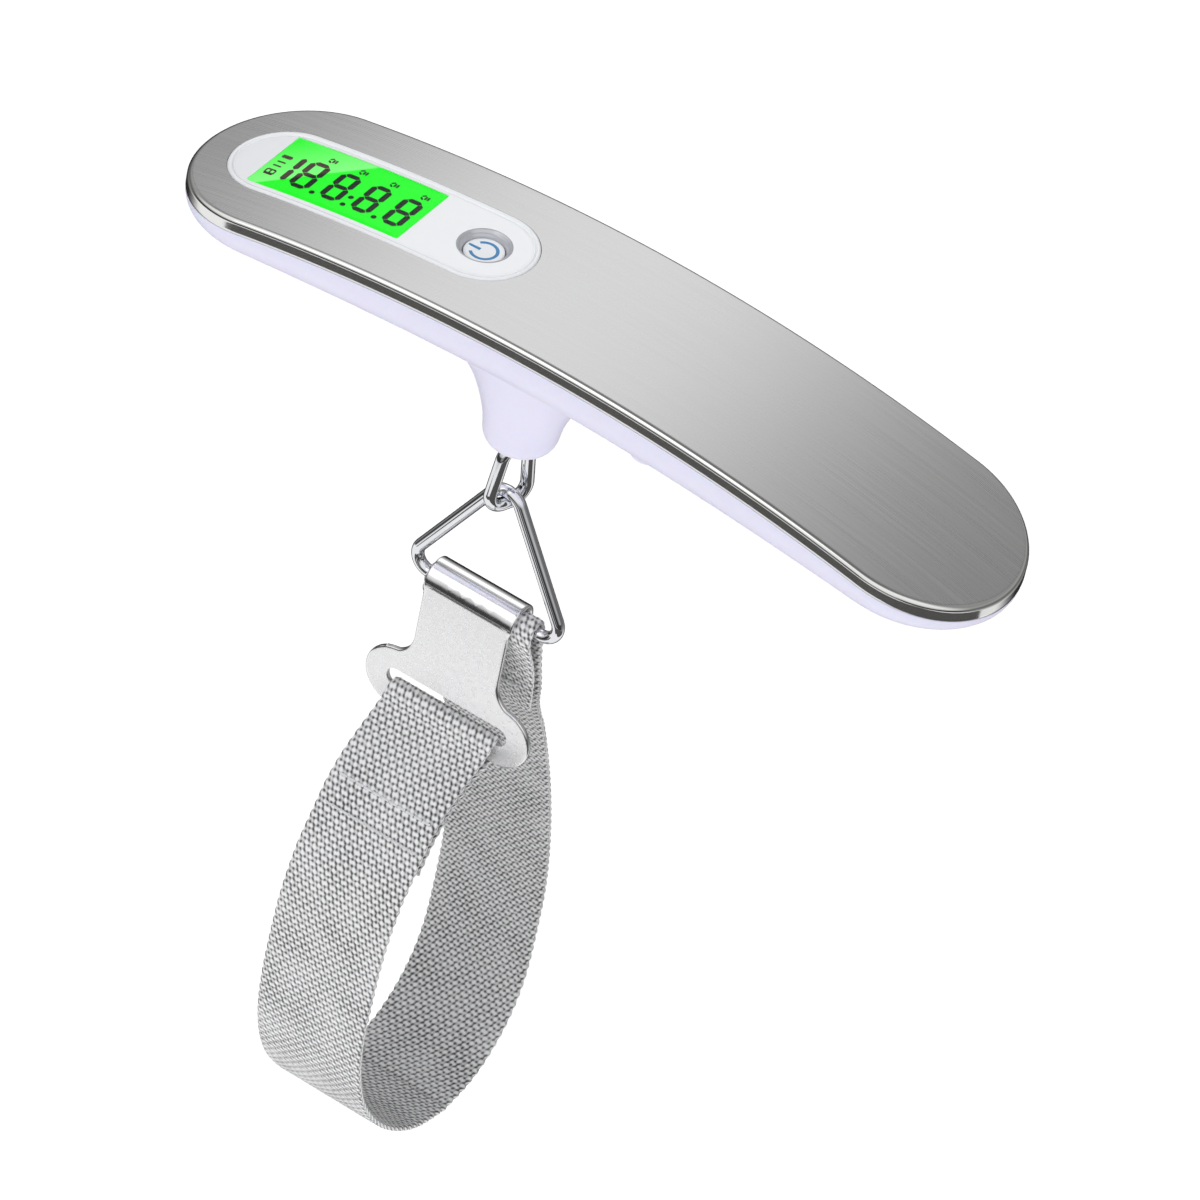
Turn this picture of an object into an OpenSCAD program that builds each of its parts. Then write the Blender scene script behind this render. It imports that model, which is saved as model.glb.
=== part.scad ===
// Digital luggage scale with an arched grip, a coin cell and a webbing loop.
// Origin: top of the arched cover at mid length. +X runs along the grip towards the battery end,
// +Z is up, and the hook hangs down -Z.

/* [Body] */
// Length of the grip
body_length = 147.4; // [146:0.2:148]
// Width of the grip
body_width = 34.6; // [34.4:0.1:36]
// Radius of the arch along the grip
arch_radius = 294; // [270:2:330]
// Height of the cover's turned-down rim
rim_height = 2.6; // [2.6:0.1:3]
// Thickness of the steel cover
cover_thickness = 0.6; // [0.5:0.1:0.7]
// Depth of the casing below the rim, at mid length
casing_depth = 10; // [10:0.1:11]
// Share of the casing's depth that is lost towards each end
end_taper = 0.53; // [0.5:0.01:0.55]
// Wall thickness of the casing
casing_wall = 1.5; // [1.4:0.1:1.6]

/* [Neck and hook] */
// Position of the neck along the grip
neck_x = -11; // [-11.2:0.1:-10.8]
// Radius of the neck above its rounded end
neck_radius = 6.1; // [6:0.05:6.15]
// Level of the neck's lower end
neck_bottom = -32.8; // [-33:0.1:-32.4]
// Radius of the hook's shank
shank_radius = 2; // [1.9:0.05:2]
// Radius of the hook eye's wire
eye_wire = 1.1; // [1:0.05:1.1]
// Angle of the eye's plane from the grip's length
eye_turn = 70; // [68:1:90]

/* [Ring and hook plate] */
// Radius of the ring's wire
ring_wire = 1.05; // [1:0.05:1.05]
// Half length of the ring's straight lower bar
bar_half = 10.5; // [10.5:0.1:11]
// Level of the lower bar's centre
bar_z = -66.4; // [-66.4:0.1:-66]
// Thickness of the hook plate
plate_thickness = 0.9; // [0.8:0.1:1]
// Half width of the hook plate's tabs
tab_half = 15.6; // [15.4:0.1:16.5]

/* [Webbing] */
// Width of the webbing
strap_width = 20.4; // [19:0.2:20.4]
// Thickness of the webbing
strap_thickness = 1.1; // [1:0.05:1.1]

/* [Display] */
// Length of the display insert
bezel_length = 53.6; // [53.4:0.1:53.7]
// Width of the display insert
bezel_width = 17.7; // [17.6:0.1:17.8]
// Middle of the display insert along the grip
bezel_x = -41.55; // [-41.65:0.05:-41.5]
// Visible width of the display along the grip
screen_length = 27.8; // [27:0.1:27.9]
// Visible height of the display across the grip
screen_width = 14.3; // [14:0.1:14.4]
// Position of the button along the grip
button_x = -23.3; // [-23.4:0.1:-23.2]
// Radius of the button
button_radius = 3.25; // [3.1:0.05:3.3]

/* [Battery] */
// Position of the coin cell along the grip
cell_x = 52; // [51.5:0.1:52]
// Radius of the coin cell
cell_radius = 10; // [9.9:0.05:10]
// Thickness of the coin cell
cell_thickness = 3.2; // [3:0.1:3.2]

/* [Hidden] */

$fn = 64;
arch_sides = 720;
reach = 200;            // longer than the grip, for cutting bodies
gap = 0.05;             // play between pieces that are assembled face to face

tape_thickness = 0.2;
frame_top = cover_thickness + tape_thickness;
frame_bottom = frame_top + 1.2;
end_radius = body_width / 2;
end_x = body_length / 2 - end_radius;

// Level of the surface that lies a given depth inside the arched top
function arch(x, depth = 0) = sqrt((arch_radius - depth) ^ 2 - x ^ 2) - arch_radius;
// Slope of the arch at x, in degrees
function slope(x) = asin(x / arch_radius);
// How far the arch falls below its tangent plane, at a distance along that plane
function sag(distance) = distance ^ 2 / (2 * arch_radius);

// ---- shared shapes ----

module stadium(length, width) {
    square([length - width, width], center = true);
    for (side = [-1, 1]) translate([side * (length - width) / 2, 0]) circle(d = width);
}

// Solid between two depths below the arched top
module arched(top, bottom) {
    translate([0, 0, -arch_radius]) rotate([90, 0, 0]) difference() {
        cylinder(r = arch_radius - top, h = reach, center = true, $fn = arch_sides);
        cylinder(r = arch_radius - bottom, h = reach + 1, center = true, $fn = arch_sides);
    }
}

// Arched plate whose outline, seen from above, is the 2D child
module arched_plate(top, bottom) {
    intersection() {
        translate([0, 0, -40]) linear_extrude(60) children();
        arched(top, bottom);
    }
}

// Places a child on the arch at x, with its own z along the surface's normal
module on_arch(x) {
    translate([x, 0, arch(x)]) rotate([0, slope(x), 0]) children();
}

// Round bar swept along a path; up is a direction that the path never takes
function unit(v) = v / norm(v);
function at(path, i, closed) = closed ? path[(i + len(path)) % len(path)] : path[max(0, min(len(path) - 1, i))];
function ring_at(path, i, radius, up, facets, closed) = let (
    d = unit(at(path, i + 1, closed) - at(path, i - 1, closed)),
    side = unit(cross(up, d)),
    top = cross(d, side))
    [for (k = [0 : facets - 1]) let (a = 360 * k / facets) path[i] + radius * (cos(a) * side + sin(a) * top)];

module swept(path, radius, up, facets = 8, closed = false) {
    rings = len(path);
    last = closed ? rings - 1 : rings - 2;
    points = [for (i = [0 : rings - 1]) each ring_at(path, i, radius, up, facets, closed)];
    walls = [for (i = [0 : last], k = [0 : facets - 1])
        let (a = i * facets, b = ((i + 1) % rings) * facets, n = (k + 1) % facets)
            [a + k, b + k, b + n, a + n]];
    ends = closed ? [] : [[for (k = [0 : facets - 1]) k],
        [for (k = [facets - 1 : -1 : 0]) (rings - 1) * facets + k]];
    polyhedron(points, concat(walls, ends), convexity = 6);
}

// Closed line round circles [centre, radius] in the XZ plane, listed anticlockwise
function turned(v) = [v.y, -v.x];
// Direction from circle a's centre to the point where the line leaves it for circle b
function leaving(a, b) = let (d = unit(b[0] - a[0]), k = (a[1] - b[1]) / norm(b[0] - a[0]))
    k * d + sqrt(1 - k * k) * turned(d);
function angle_of(v) = atan2(v.y, v.x);
function bend(before, this, next, steps) = let (
    arrive = angle_of(leaving(before, this)),
    sweep = (angle_of(leaving(this, next)) - arrive + 360) % 360)
    [for (s = [0 : steps]) let (a = arrive + sweep * s / steps)
        [this[0].x + this[1] * cos(a), 0, this[0].y + this[1] * sin(a)]];

// Smooth curve through hand-chosen points (Catmull-Rom)
function blend(a, b, c, d, t) = 0.5 * ((2 * b) + (c - a) * t + (2 * a - 5 * b + 4 * c - d) * t ^ 2
    + (3 * b - a - 3 * c + d) * t ^ 3);
function smooth(p, steps) = let (last = len(p) - 1) concat(
    [for (i = [0 : last - 1], s = [0 : steps - 1])
        blend(p[max(i - 1, 0)], p[i], p[i + 1], p[min(i + 2, last)], s / steps)], [p[last]]);

// Flat band of even thickness along a line, as an outline
function side_of(line, offset) = [for (i = [0 : len(line) - 1])
    let (d = unit(line[min(i + 1, len(line) - 1)] - line[max(i - 1, 0)])) line[i] + offset * turned(d)];
module band(line, thickness) {
    near = side_of(line, thickness / 2);
    far = side_of(line, -thickness / 2);
    polygon(concat(near, [for (i = [len(far) - 1 : -1 : 0]) far[i]]));
}

// Extrudes an outline drawn as [y, z] along the grip, centred on x
module across(x, width) {
    translate([x - width / 2, 0, 0]) rotate([90, 0, 90]) linear_extrude(width) children();
}

// ---- the casing's bowl ----

end_steps = 12;         // facets round each end
side_steps = 18;        // facets along each side
ring_angles = [90, 80, 70, 60, 50, 38, 26, 15, 7];
plan_power = 3.4;       // how square the cross-section is across
depth_power = 2.3;      // how square it is in depth

// Outline as [middle line x, direction x, direction y]
outline = concat(
    [for (i = [0 : end_steps]) let (a = -90 + 180 * i / end_steps) [end_x, cos(a), sin(a)]],
    [for (i = [1 : side_steps - 1]) [end_x - 2 * end_x * i / side_steps, 0, 1]],
    [for (i = [0 : end_steps]) let (a = 90 + 180 * i / end_steps) [-end_x, cos(a), sin(a)]],
    [for (i = [1 : side_steps - 1]) [-end_x + 2 * end_x * i / side_steps, 0, -1]]);
sides = len(outline);
function mirrored(i) = (end_steps - i + sides) % sides;
function depth_at(x, inset) = (casing_depth - inset) * (1 - end_taper * (abs(x) / (body_length / 2)) ^ 3);
function bowl_point(o, share, depth_share, inset) = let (r = share * (end_radius - inset), x = o[0] + r * o[1])
    [x, r * o[2], arch(x, rim_height) - depth_at(x, inset) * depth_share];

// Level of the casing's outside surface at a point in plan
function belly(x, y) = let (middle = max(-end_x, min(end_x, x)), r = norm([x - middle, y]) / end_radius)
    arch(x, rim_height) - depth_at(x, 0) * (1 - r ^ plan_power) ^ (1 / depth_power);

// Closed bowl under the rim line; lift raises its flat lid, for cutting
module bowl(inset, lift = 0) {
    lid = [for (o = outline) bowl_point(o, 1, 0, inset) + [0, 0, lift]];
    rings = [for (a = ring_angles, o = outline)
        bowl_point(o, sin(a) ^ (2 / plan_power), cos(a) ^ (2 / depth_power), inset)];
    points = concat(lift > 0 ? lid : [], rings);
    levels = len(points) / sides;
    walls = [for (k = [0 : levels - 2], i = [0 : sides - 1]) let (j = (i + 1) % sides)
        [k * sides + i, k * sides + j, (k + 1) * sides + j, (k + 1) * sides + i]];
    first = end_steps / 2;
    strips = [for (i = [first : first + sides / 2 - 1]) let (a = i % sides, b = (i + 1) % sides)
        [a, b, mirrored(b), mirrored(a)]];
    tidy = [for (f = strips) [for (k = [0 : 3]) if (f[k] != f[(k + 3) % 4]) f[k]]];
    base = (levels - 1) * sides;
    top_faces = [for (f = tidy) [for (k = [len(f) - 1 : -1 : 0]) f[k]]];
    bottom_faces = [for (f = tidy) [for (v = f) v + base]];
    polyhedron(points, concat(walls, top_faces, bottom_faces), convexity = 4);
}

// ---- upper shell ----

module steel_cover() {
    color("silver") difference() {
        arched_plate(0, rim_height) stadium(body_length, body_width);
        arched_plate(cover_thickness, rim_height + 1)
            stadium(body_length - 2 * cover_thickness, body_width - 2 * cover_thickness);
        window(0.1);
    }
}

module window(play) {
    translate([bezel_x, 0, -40]) linear_extrude(60) stadium(bezel_length + play, bezel_width + play);
}

module inset_outline(inset) {
    stadium(body_length - 2 * inset, body_width - 2 * inset);
}

module cover_tape() {
    color("white") difference() {
        arched_plate(cover_thickness, frame_top) inset_outline(0.9);
        window(0.3);
    }
}

board_x = -46;          // the board's frame sits on the arch here
board_top = -5.6;
board_thickness = 1;
board_half_width = 12.8;
board_left = -17;
board_right = 27.5;
board_posts = [[-10, 10.9], [-10, -10.9], [25, 11], [25, -11]];
casing_screw_at = [[-67, 0], [16, 10.8], [16, -10.8], [67.5, 0]];
skirt_bottom = 3.5;
function parting(at) = arch(at.x) - 4.6;

module upper_frame() {
    color("whitesmoke") difference() {
        union() {
            arched_plate(frame_top, frame_bottom) inset_outline(cover_thickness + 0.1);
            difference() {
                arched_plate(frame_bottom, skirt_bottom) inset_outline(casing_wall + 0.4);
                arched_plate(frame_bottom - 0.5, skirt_bottom + 1) inset_outline(casing_wall + 1.4);
            }
            on_arch(board_x) for (p = board_posts) translate([p.x, p.y, board_top])
                cylinder(r = 1.6, h = -board_top - sag(p.x) - 1.4);
            for (p = casing_screw_at) translate([p.x, p.y, parting(p)])
                cylinder(r = 2.2, h = arch(p.x) - 1.4 - parting(p));
        }
        window(0.1);
        arched_plate(frame_bottom, frame_bottom + 1) translate([bezel_x, 0]) flange_outline(0.1);
        on_arch(board_x) for (p = board_posts) translate([p.x, p.y, board_top - 1]) cylinder(r = 0.8, h = 3.2);
        for (p = casing_screw_at) translate([p.x, p.y, parting(p) - 1]) cylinder(r = 1, h = 3.2);
    }
}

// ---- display and board ----

screen_shift = -2.2;    // the screen's middle from the board's frame
glass_top = -1.2;
glass_thickness = 1.5;
glass_length = screen_length + 0.8;
glass_width = screen_width + 0.8;

module screen_block(length, width, bottom, height) {
    on_arch(board_x) translate([screen_shift - length / 2, -width / 2, bottom]) cube([length, width, height]);
}

module flange_outline(play) {
    stadium(bezel_length + 0.7 + play, bezel_width + 0.7 + play);
}

module display_bezel() {
    color("lavender") difference() {
        union() {
            arched_plate(-0.15, frame_bottom + 0.3) translate([bezel_x, 0]) stadium(bezel_length, bezel_width);
            arched_plate(frame_bottom + 0.02, frame_bottom + 0.6) translate([bezel_x, 0]) flange_outline(0);
        }
        screen_block(screen_length, screen_width, -4, 6);
        screen_block(glass_length + 0.2, glass_width + 0.2, -6, 6 + glass_top + gap);
        on_arch(button_x) {
            translate([0, 0, -5]) cylinder(r = button_radius + 0.08, h = 8);
            translate([0, 0, -0.9]) cylinder(r1 = button_radius + 0.08, r2 = 4.35, h = 1.06);
            translate([0, 0, -4]) cylinder(r = 4.4, h = 2);
        }
    }
}

module display_lens() {
    color("azure", 0.4) intersection() {
        arched(-0.1, 0.7);
        screen_block(screen_length - 0.1, screen_width - 0.1, -4, 6);
    }
}

module lcd_panel() {
    color("limegreen") screen_block(glass_length, glass_width, glass_top - glass_thickness, glass_thickness);
}

light_width = 12.6;
light_bottom = board_top + 0.1;
light_height = glass_top - glass_thickness - light_bottom;

module backlight_panel() {
    color("ivory") screen_block(screen_length, light_width, light_bottom, light_height);
}

module contact_strips() {
    color("dimgray") on_arch(board_x) for (side = [-1, 1])
        translate([screen_shift - 12, side * 6.95 - 0.5, board_top])
            cube([24, 1, glass_top - glass_thickness - board_top]);
}

module circuit_board() {
    corner = 6;
    straight = board_half_width - corner;
    color("darkgreen") on_arch(board_x) translate([0, 0, board_top - board_thickness])
        linear_extrude(board_thickness) difference() {
            union() {
                translate([board_left + corner, -board_half_width])
                    square([board_right - board_left - corner, 2 * board_half_width]);
                translate([board_left, -straight]) square([corner, 2 * straight]);
                for (side = [-1, 1]) translate([board_left + corner, side * straight]) circle(r = corner);
            }
            for (p = board_posts) translate(p) circle(r = 1.1);
        }
}

module control_chip() {
    color("black") on_arch(board_x) translate([-2, 0, board_top - board_thickness - 1.2])
        cylinder(r1 = 4, r2 = 5, h = 1.2);
}

module crystal() {
    color("silver") on_arch(board_x) translate([9, 2, board_top - board_thickness - 1.1])
        rotate([0, 90, 0]) cylinder(r = 1, h = 6);
}

module board_screws() {
    color("gray") on_arch(board_x) for (p = board_posts) translate([p.x, p.y, 0]) {
        translate([0, 0, board_top - board_thickness]) cylinder(r = 0.8, h = board_thickness + 2);
        translate([0, 0, board_top - board_thickness - 1]) cylinder(r = 1.7, h = 1);
    }
}

// Levels below are in the button's own frame on the arch
button_top = -0.9;
flange_top = -2.1;
button_bottom = -3.2;
switch_top = -3.75;
switch_bottom = -4.55;
plunger_radius = 0.8;

module tact_switch() {
    color("dimgray") on_arch(button_x) difference() {
        translate([-2.3, -2.3, switch_bottom]) cube([4.6, 4.6, switch_top - switch_bottom]);
        translate([0, 0, switch_bottom - 1]) cylinder(r = plunger_radius + 0.08, h = 3);
    }
}

module power_button() {
    color("aliceblue", 0.8) on_arch(button_x) {
        translate([0, 0, flange_top - 0.1]) cylinder(r = button_radius, h = button_top - flange_top + 0.1);
        translate([0, 0, button_bottom]) cylinder(r = 4.1, h = flange_top - button_bottom);
    }
}

module switch_plunger() {
    color("gold") on_arch(button_x) translate([0, 0, switch_top - 0.2])
        cylinder(r = plunger_radius, h = button_bottom - switch_top + 0.2);
}

// ---- lower shell ----

bush_top = -24.2;
bush_bottom = -27.2;
bush_radius = 3.2;
neck_bore = 4;
door_radius = 11;
door_play = 0.15;
neck_round = 2.8;       // round at the neck's lower end
flare = [[-28.5, 6.2, 6.2], [-25.5, 7, 6.8], [-22.5, 8.2, 7.5], [-19.5, 10, 8.2], [-17, 12.5, 9],
    [-14.8, 16, 9.6], [-13, 20.5, 10.2], [-11.4, 26, 10.8]];
screw_recess = 2.2;

module on_neck(z) {
    translate([neck_x, 0, z]) children();
}

module neck_outside() {
    round_top = neck_bottom + neck_round;
    on_neck(0) {
        rotate_extrude($fn = 96) {
            polygon([[0, neck_bottom], [neck_radius - neck_round, neck_bottom], [neck_radius, round_top],
                [flare[0][1] + 0.1, flare[0][0] + 0.4], [0, flare[0][0] + 0.4]]);
            translate([neck_radius - neck_round, round_top]) circle(r = neck_round);
        }
        loft(smooth(flare, 2), 36);
    }
}

// Solid through level ellipses listed upwards as [level, half length, half width]
module loft(levels, facets) {
    count = len(levels);
    points = [for (l = levels, k = [0 : facets - 1]) let (a = 360 * k / facets)
        [l[1] * cos(a), l[2] * sin(a), l[0]]];
    walls = [for (i = [0 : count - 2], k = [0 : facets - 1])
        let (a = i * facets, b = a + facets, n = (k + 1) % facets) [a + k, b + k, b + n, a + n]];
    lower = [for (k = [0 : facets - 1]) k];
    upper = [for (k = [facets - 1 : -1 : 0]) (count - 1) * facets + k];
    polyhedron(points, concat(walls, [lower, upper]), convexity = 4);
}

module lower_casing() {
    color("lavender") difference() {
        union() {
            difference() {
                union() {
                    bowl(0);
                    neck_outside();
                }
                bowl(casing_wall, 1);
            }
            intersection() {
                bowl(0.4);
                union() {
                    for (p = casing_screw_at) casing_boss(p);
                    load_cell_pad();
                }
            }
        }
        on_neck(neck_bottom - 1) cylinder(r = neck_bore, h = bush_bottom - neck_bottom + 1);
        on_neck(bush_bottom - 1) cylinder(r = bush_radius, h = 6);
        on_neck(bush_top) cylinder(r = 4.4, h = 20);
        for (p = casing_screw_at) {
            translate([p.x, p.y, belly(p.x, p.y) - 2]) cylinder(r = 2.3, h = 2 + screw_recess);
            translate([p.x, p.y, belly(p.x, p.y)]) cylinder(r = 1.25, h = 12);
        }
        for (x = cell_screw_x) translate([x, 0, cell_bottom - 2.1]) cylinder(r = 1.25, h = 4);
        on_arch(cell_x) translate([0, 0, -20]) cylinder(r = door_radius + door_play, h = 16);
    }
}

module casing_boss(at) {
    foot = belly(at.x, at.y) + 0.7;
    translate([at.x, at.y, foot]) cylinder(r = 2.9, h = parting(at) - gap - foot);
}

module casing_screws() {
    color("gray") for (p = casing_screw_at) translate([p.x, p.y, belly(p.x, p.y) + screw_recess]) {
        translate([0, 0, -1.2]) difference() {
            cylinder(r = 2.1, h = 1.2);
            for (turn = [0, 90]) rotate([0, 0, turn]) translate([-1.3, -0.25, -1]) cube([2.6, 0.5, 1.6]);
        }
        cylinder(r = 1, h = parting(p) + 1.2 - belly(p.x, p.y) - screw_recess);
    }
}

module neck_bush() {
    color("ivory") on_neck(bush_bottom) difference() {
        union() {
            cylinder(r = bush_radius, h = bush_top - bush_bottom);
            translate([0, 0, bush_top - bush_bottom]) cylinder(r = 4.2, h = 0.8);
        }
        translate([0, 0, -1]) cylinder(r = shank_radius + 0.06, h = 8);
    }
}

// ---- weighing beam ----

cell_top = -6.2;
cell_bottom = -10.7;
cell_half_width = 6;
cell_left = -17;
cell_right = 33;
cell_screw_x = [22, 29];
flexure_x = [1, 9];
flexure_radius = 1.7;

module load_cell() {
    middle = (cell_top + cell_bottom) / 2;
    color("gainsboro") difference() {
        translate([cell_left, -cell_half_width, cell_bottom])
            cube([cell_right - cell_left, 2 * cell_half_width, cell_top - cell_bottom]);
        for (x = flexure_x) translate([x, 0, middle]) rotate([90, 0, 0])
            cylinder(r = flexure_radius, h = 20, center = true);
        translate([flexure_x[0], -10, middle - 0.5]) cube([flexure_x[1] - flexure_x[0], 20, 1]);
        on_neck(cell_bottom - 1) cylinder(r = shank_radius + 0.06, h = 10);
        for (x = cell_screw_x) translate([x, 0, cell_bottom - 1]) cylinder(r = 1.6, h = 10);
    }
}

module strain_gauges() {
    thickness = 0.12;
    color("peru") for (x = flexure_x, z = [cell_top, cell_bottom - thickness])
        translate([x - 2.5, -1.6, z]) cube([5, 3.2, thickness]);
}

module load_cell_pad() {
    floor_level = belly(cell_screw_x[0], 0) + 0.7;
    translate([cell_screw_x[0] - 4, -cell_half_width, floor_level])
        cube([cell_right - cell_screw_x[0] + 4, 2 * cell_half_width, cell_bottom - gap - floor_level]);
}

module load_cell_washers() {
    color("silver") for (x = cell_screw_x) translate([x, 0, cell_top]) difference() {
        cylinder(r = 3, h = 0.4);
        translate([0, 0, -1]) cylinder(r = 1.6, h = 3);
    }
}

module load_cell_screws() {
    color("gray") for (x = cell_screw_x) translate([x, 0, 0]) {
        translate([0, 0, cell_top + 0.4]) difference() {
            cylinder(r = 2.6, h = 1.6);
            translate([0, 0, 0.7]) cylinder(r = 1.2, h = 2, $fn = 6);
        }
        translate([0, 0, cell_bottom - 2]) cylinder(r = 1.25, h = cell_top - cell_bottom + 2.4);
    }
}

module hook_washer() {
    color("silver") on_neck(cell_top) difference() {
        cylinder(r = 3.6, h = 0.55);
        translate([0, 0, -1]) cylinder(r = shank_radius + 0.1, h = 3);
    }
}

// ---- battery end ----

module battery_tray() {
    color("dimgray") on_arch(cell_x) difference() {
        translate([0, 0, -6.6]) cylinder(r = 12, h = 4.3);
        translate([0, 0, -8]) cylinder(r = cell_radius + 0.15, h = 4.9);
        translate([-13, -2.2, -8]) cube([4, 4.4, 4.9]);
    }
}

battery_top = -3.9;

module battery_cell() {
    color("silver") on_arch(cell_x) translate([0, 0, battery_top - cell_thickness]) {
        cylinder(r = cell_radius, h = cell_thickness - 0.5);
        cylinder(r = cell_radius - 1.2, h = cell_thickness);
    }
}

module positive_contact() {
    color("gold") on_arch(cell_x) {
        translate([-cell_radius - 0.5, -2, battery_top - cell_thickness]) cube([0.4, 4, cell_thickness + 0.7]);
        translate([-cell_radius - 3.4, -2, battery_top + 0.3]) cube([2.9, 4, 0.4]);
    }
}

module negative_spring() {
    color("gold") on_arch(cell_x) {
        translate([-7, -1.5, -3.4]) cube([14, 3, 0.3]);
        translate([-1.5, -1.5, battery_top]) cube([3, 3, 0.5]);
    }
}

module battery_door() {
    pad_top = battery_top - cell_thickness - 0.15;
    color("lavender") {
        intersection() {
            difference() {
                bowl(0);
                bowl(casing_wall, 1);
            }
            on_arch(cell_x) translate([0, 0, -20]) cylinder(r = door_radius, h = 16);
        }
        on_arch(cell_x) translate([0, 0, pad_top - 1.9]) cylinder(r = 5, h = 1.9);
    }
}

// ---- leads held inside ----

module gauge_wires() {
    for (k = [0 : 3]) color(["red", "black", "green", "white"][k])
        swept(smooth([[2, 2.2 + 0.9 * k, cell_top + 0.5], [-3, 2.4 + 1.1 * k, -4.6], [-12, 4.6 + 1.3 * k, -3.9],
            [-18.9, 4.5 + 1.5 * k, -4.5]], 4), 0.3, [0, 0, 1]);
}

module battery_wires() {
    for (side = [-1, 1]) color(side > 0 ? "red" : "black")
        swept(smooth([[39.6, side * 7, -6.6], [34.5, side * 7.1, -7], [-13, side * 7.1, -7.6],
            [-18.6, side * 8, -7]], 4), 0.5, [0, 0, 1]);
}

// ---- hook, ring and plate ----

eye_bottom = -45.3;     // centre of the wire at the eye's lowest point
eye_radius = 2.9;
eye_top_radius = 2.6;
eye_top = -36;
eye_flat = 0.6;         // half length of the eye's straight lowest part

module hook_eye() {
    left = [[-eye_flat, eye_bottom + eye_radius], eye_radius];
    right = [[eye_flat, eye_bottom + eye_radius], eye_radius];
    upper = [[0, eye_top], eye_top_radius];
    color("silver") on_neck(0) {
        rotate([0, 0, eye_turn]) {
            loop = concat(bend(left, right, upper, 13), bend(right, upper, left, 18), bend(upper, left, right, 13));
            swept(loop, eye_wire - 0.005, [0, 1, 0], 20, true);
            translate([-eye_flat - 0.05, 0, eye_bottom]) rotate([0, 90, 0])
                cylinder(r = eye_wire, h = 2 * eye_flat + 0.1);
        }
        translate([0, 0, eye_top + eye_top_radius - 0.3])
            cylinder(r = shank_radius, h = -3.1 - eye_top - eye_top_radius + 0.3);
    }
}

module hook_nut() {
    color("gray") on_neck(cell_top + 0.6) difference() {
        cylinder(r = 3.3, h = 2.2, $fn = 6);
        translate([0, 0, -1]) cylinder(r = shank_radius, h = 5);
    }
}

ring_top_bend = 3;
ring_corner = 2.8;
ring_top = eye_bottom + eye_wire + ring_wire + 0.1;

module triangle_ring() {
    top = [[0, ring_top - ring_top_bend], ring_top_bend];
    left = [[-bar_half, bar_z + ring_corner], ring_corner];
    right = [[bar_half, bar_z + ring_corner], ring_corner];
    color("silver") on_neck(0) {
        swept(concat(bend(left, right, top, 14), bend(right, top, left, 16), bend(top, left, right, 14)),
            ring_wire - 0.005, [0, 1, 0], 20);
        translate([0, 0, bar_z]) rotate([0, 90, 0])
            cylinder(r = ring_wire, h = 2 * bar_half + 0.2, center = true);
    }
}

wrap_inside = ring_wire + 0.15;
curl_inside = wrap_inside + strap_thickness + 0.15;
curl_outside = curl_inside + plate_thickness;
plate_x = -12.3;
curl_half = 8.3;
waist_half = 8;
tab_middle = -87.25;
tab_height = 11.5;
slot_half = 11.5;
slot_bottom = -89;
slot_height = 3.5;
lip = 1;

module hook_plate() {
    color("silver") {
        translate([plate_x, -curl_inside, 0]) rotate([90, 0, 0])
            linear_extrude(plate_thickness) plate_outline();
        translate([0, 0, bar_z]) across(plate_x, 2 * curl_half) curl();
    }
}

module plate_outline() {
    flare = tab_half - waist_half - 3;
    waist_foot = tab_middle + tab_height / 2 - 0.6;
    difference() {
        union() {
            translate([0, tab_middle]) stadium(2 * tab_half, tab_height);
            translate([-waist_half, tab_middle]) square([2 * waist_half, bar_z - tab_middle]);
            translate([-waist_half - flare, waist_foot - 1]) square([2 * (waist_half + flare), flare + 1]);
        }
        for (side = [-1, 1]) translate([side * (waist_half + flare), waist_foot + flare]) circle(r = flare);
        translate([0, slot_bottom + slot_height / 2]) stadium(2 * slot_half, slot_height);
    }
}

// Hook that lies over the ring's bar, as a cross-section
module curl() {
    difference() {
        circle(r = curl_outside);
        circle(r = curl_inside);
        translate([-10, -20]) square([20, 20]);
    }
    translate([curl_inside, -lip]) square([plate_thickness, lip]);
}

// ---- webbing: lines are [y, z] points through the middle of the webbing ----

strap_line = [[5.4, -87], [3.5, -82.5], [1.6, -76], [-0.5, -71.2], [-1.7, -68.4], [-1.75, -66.4],
    [-1.24, -65.16], [0, -64.65], [1.24, -65.16], [1.75, -66.4], [2.1, -69.2], [3.2, -74.5], [5.3, -81],
    [8.1, -87.5], [11.4, -93], [15.2, -99.5], [20.9, -114], [25.2, -128], [28, -142], [28.4, -153],
    [27, -164], [22.6, -172.5], [15.6, -177.8], [7, -179.3], [-2, -176.6], [-11.5, -169.8],
    [-19.3, -160.2], [-23.6, -149.5], [-25.1, -138], [-24.3, -122.4], [-22.1, -113], [-20.6, -109.6]];
end_line = [[-20.3, -109], [-18.2, -105.2], [-15.9, -101.2], [-11.5, -96.6], [-7.4, -93.4],
    [-5, -90.9], [-4.3, -89], [-3.1, -88.05], [-1.85, -88.9], [-1.6, -91], [-2.3, -93.7], [-5.4, -94.5],
    [-10.5, -97.75], [-14.8, -102.3], [-17, -106.1], [-18, -108]];

// Middle of the webbing along the grip at each level, as [x, z]
strap_middle = [[-11.1, -60], [-11.1, -76], [-11.4, -82], [-12.4, -88], [-13.5, -96], [-13.8, -106],
    [-13.8, -150], [-13.1, -170], [-12.8, -184]];
end_middle = [[-13.2, -80], [-13.2, -89], [-13.8, -114]];

// Webbing that follows a line and drifts sideways as it hangs
module webbing(line, middle) {
    left = [for (m = middle) m - [strap_width / 2, 0]];
    right = [for (m = middle) m + [strap_width / 2, 0]];
    count = len(middle);
    color("darkgray") intersection() {
        across(neck_x, 3 * strap_width) band(line, strap_thickness);
        rotate([90, 0, 0]) linear_extrude(reach, center = true)
            polygon(concat(left, [for (i = [count - 1 : -1 : 0]) right[i]]));
    }
}

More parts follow.
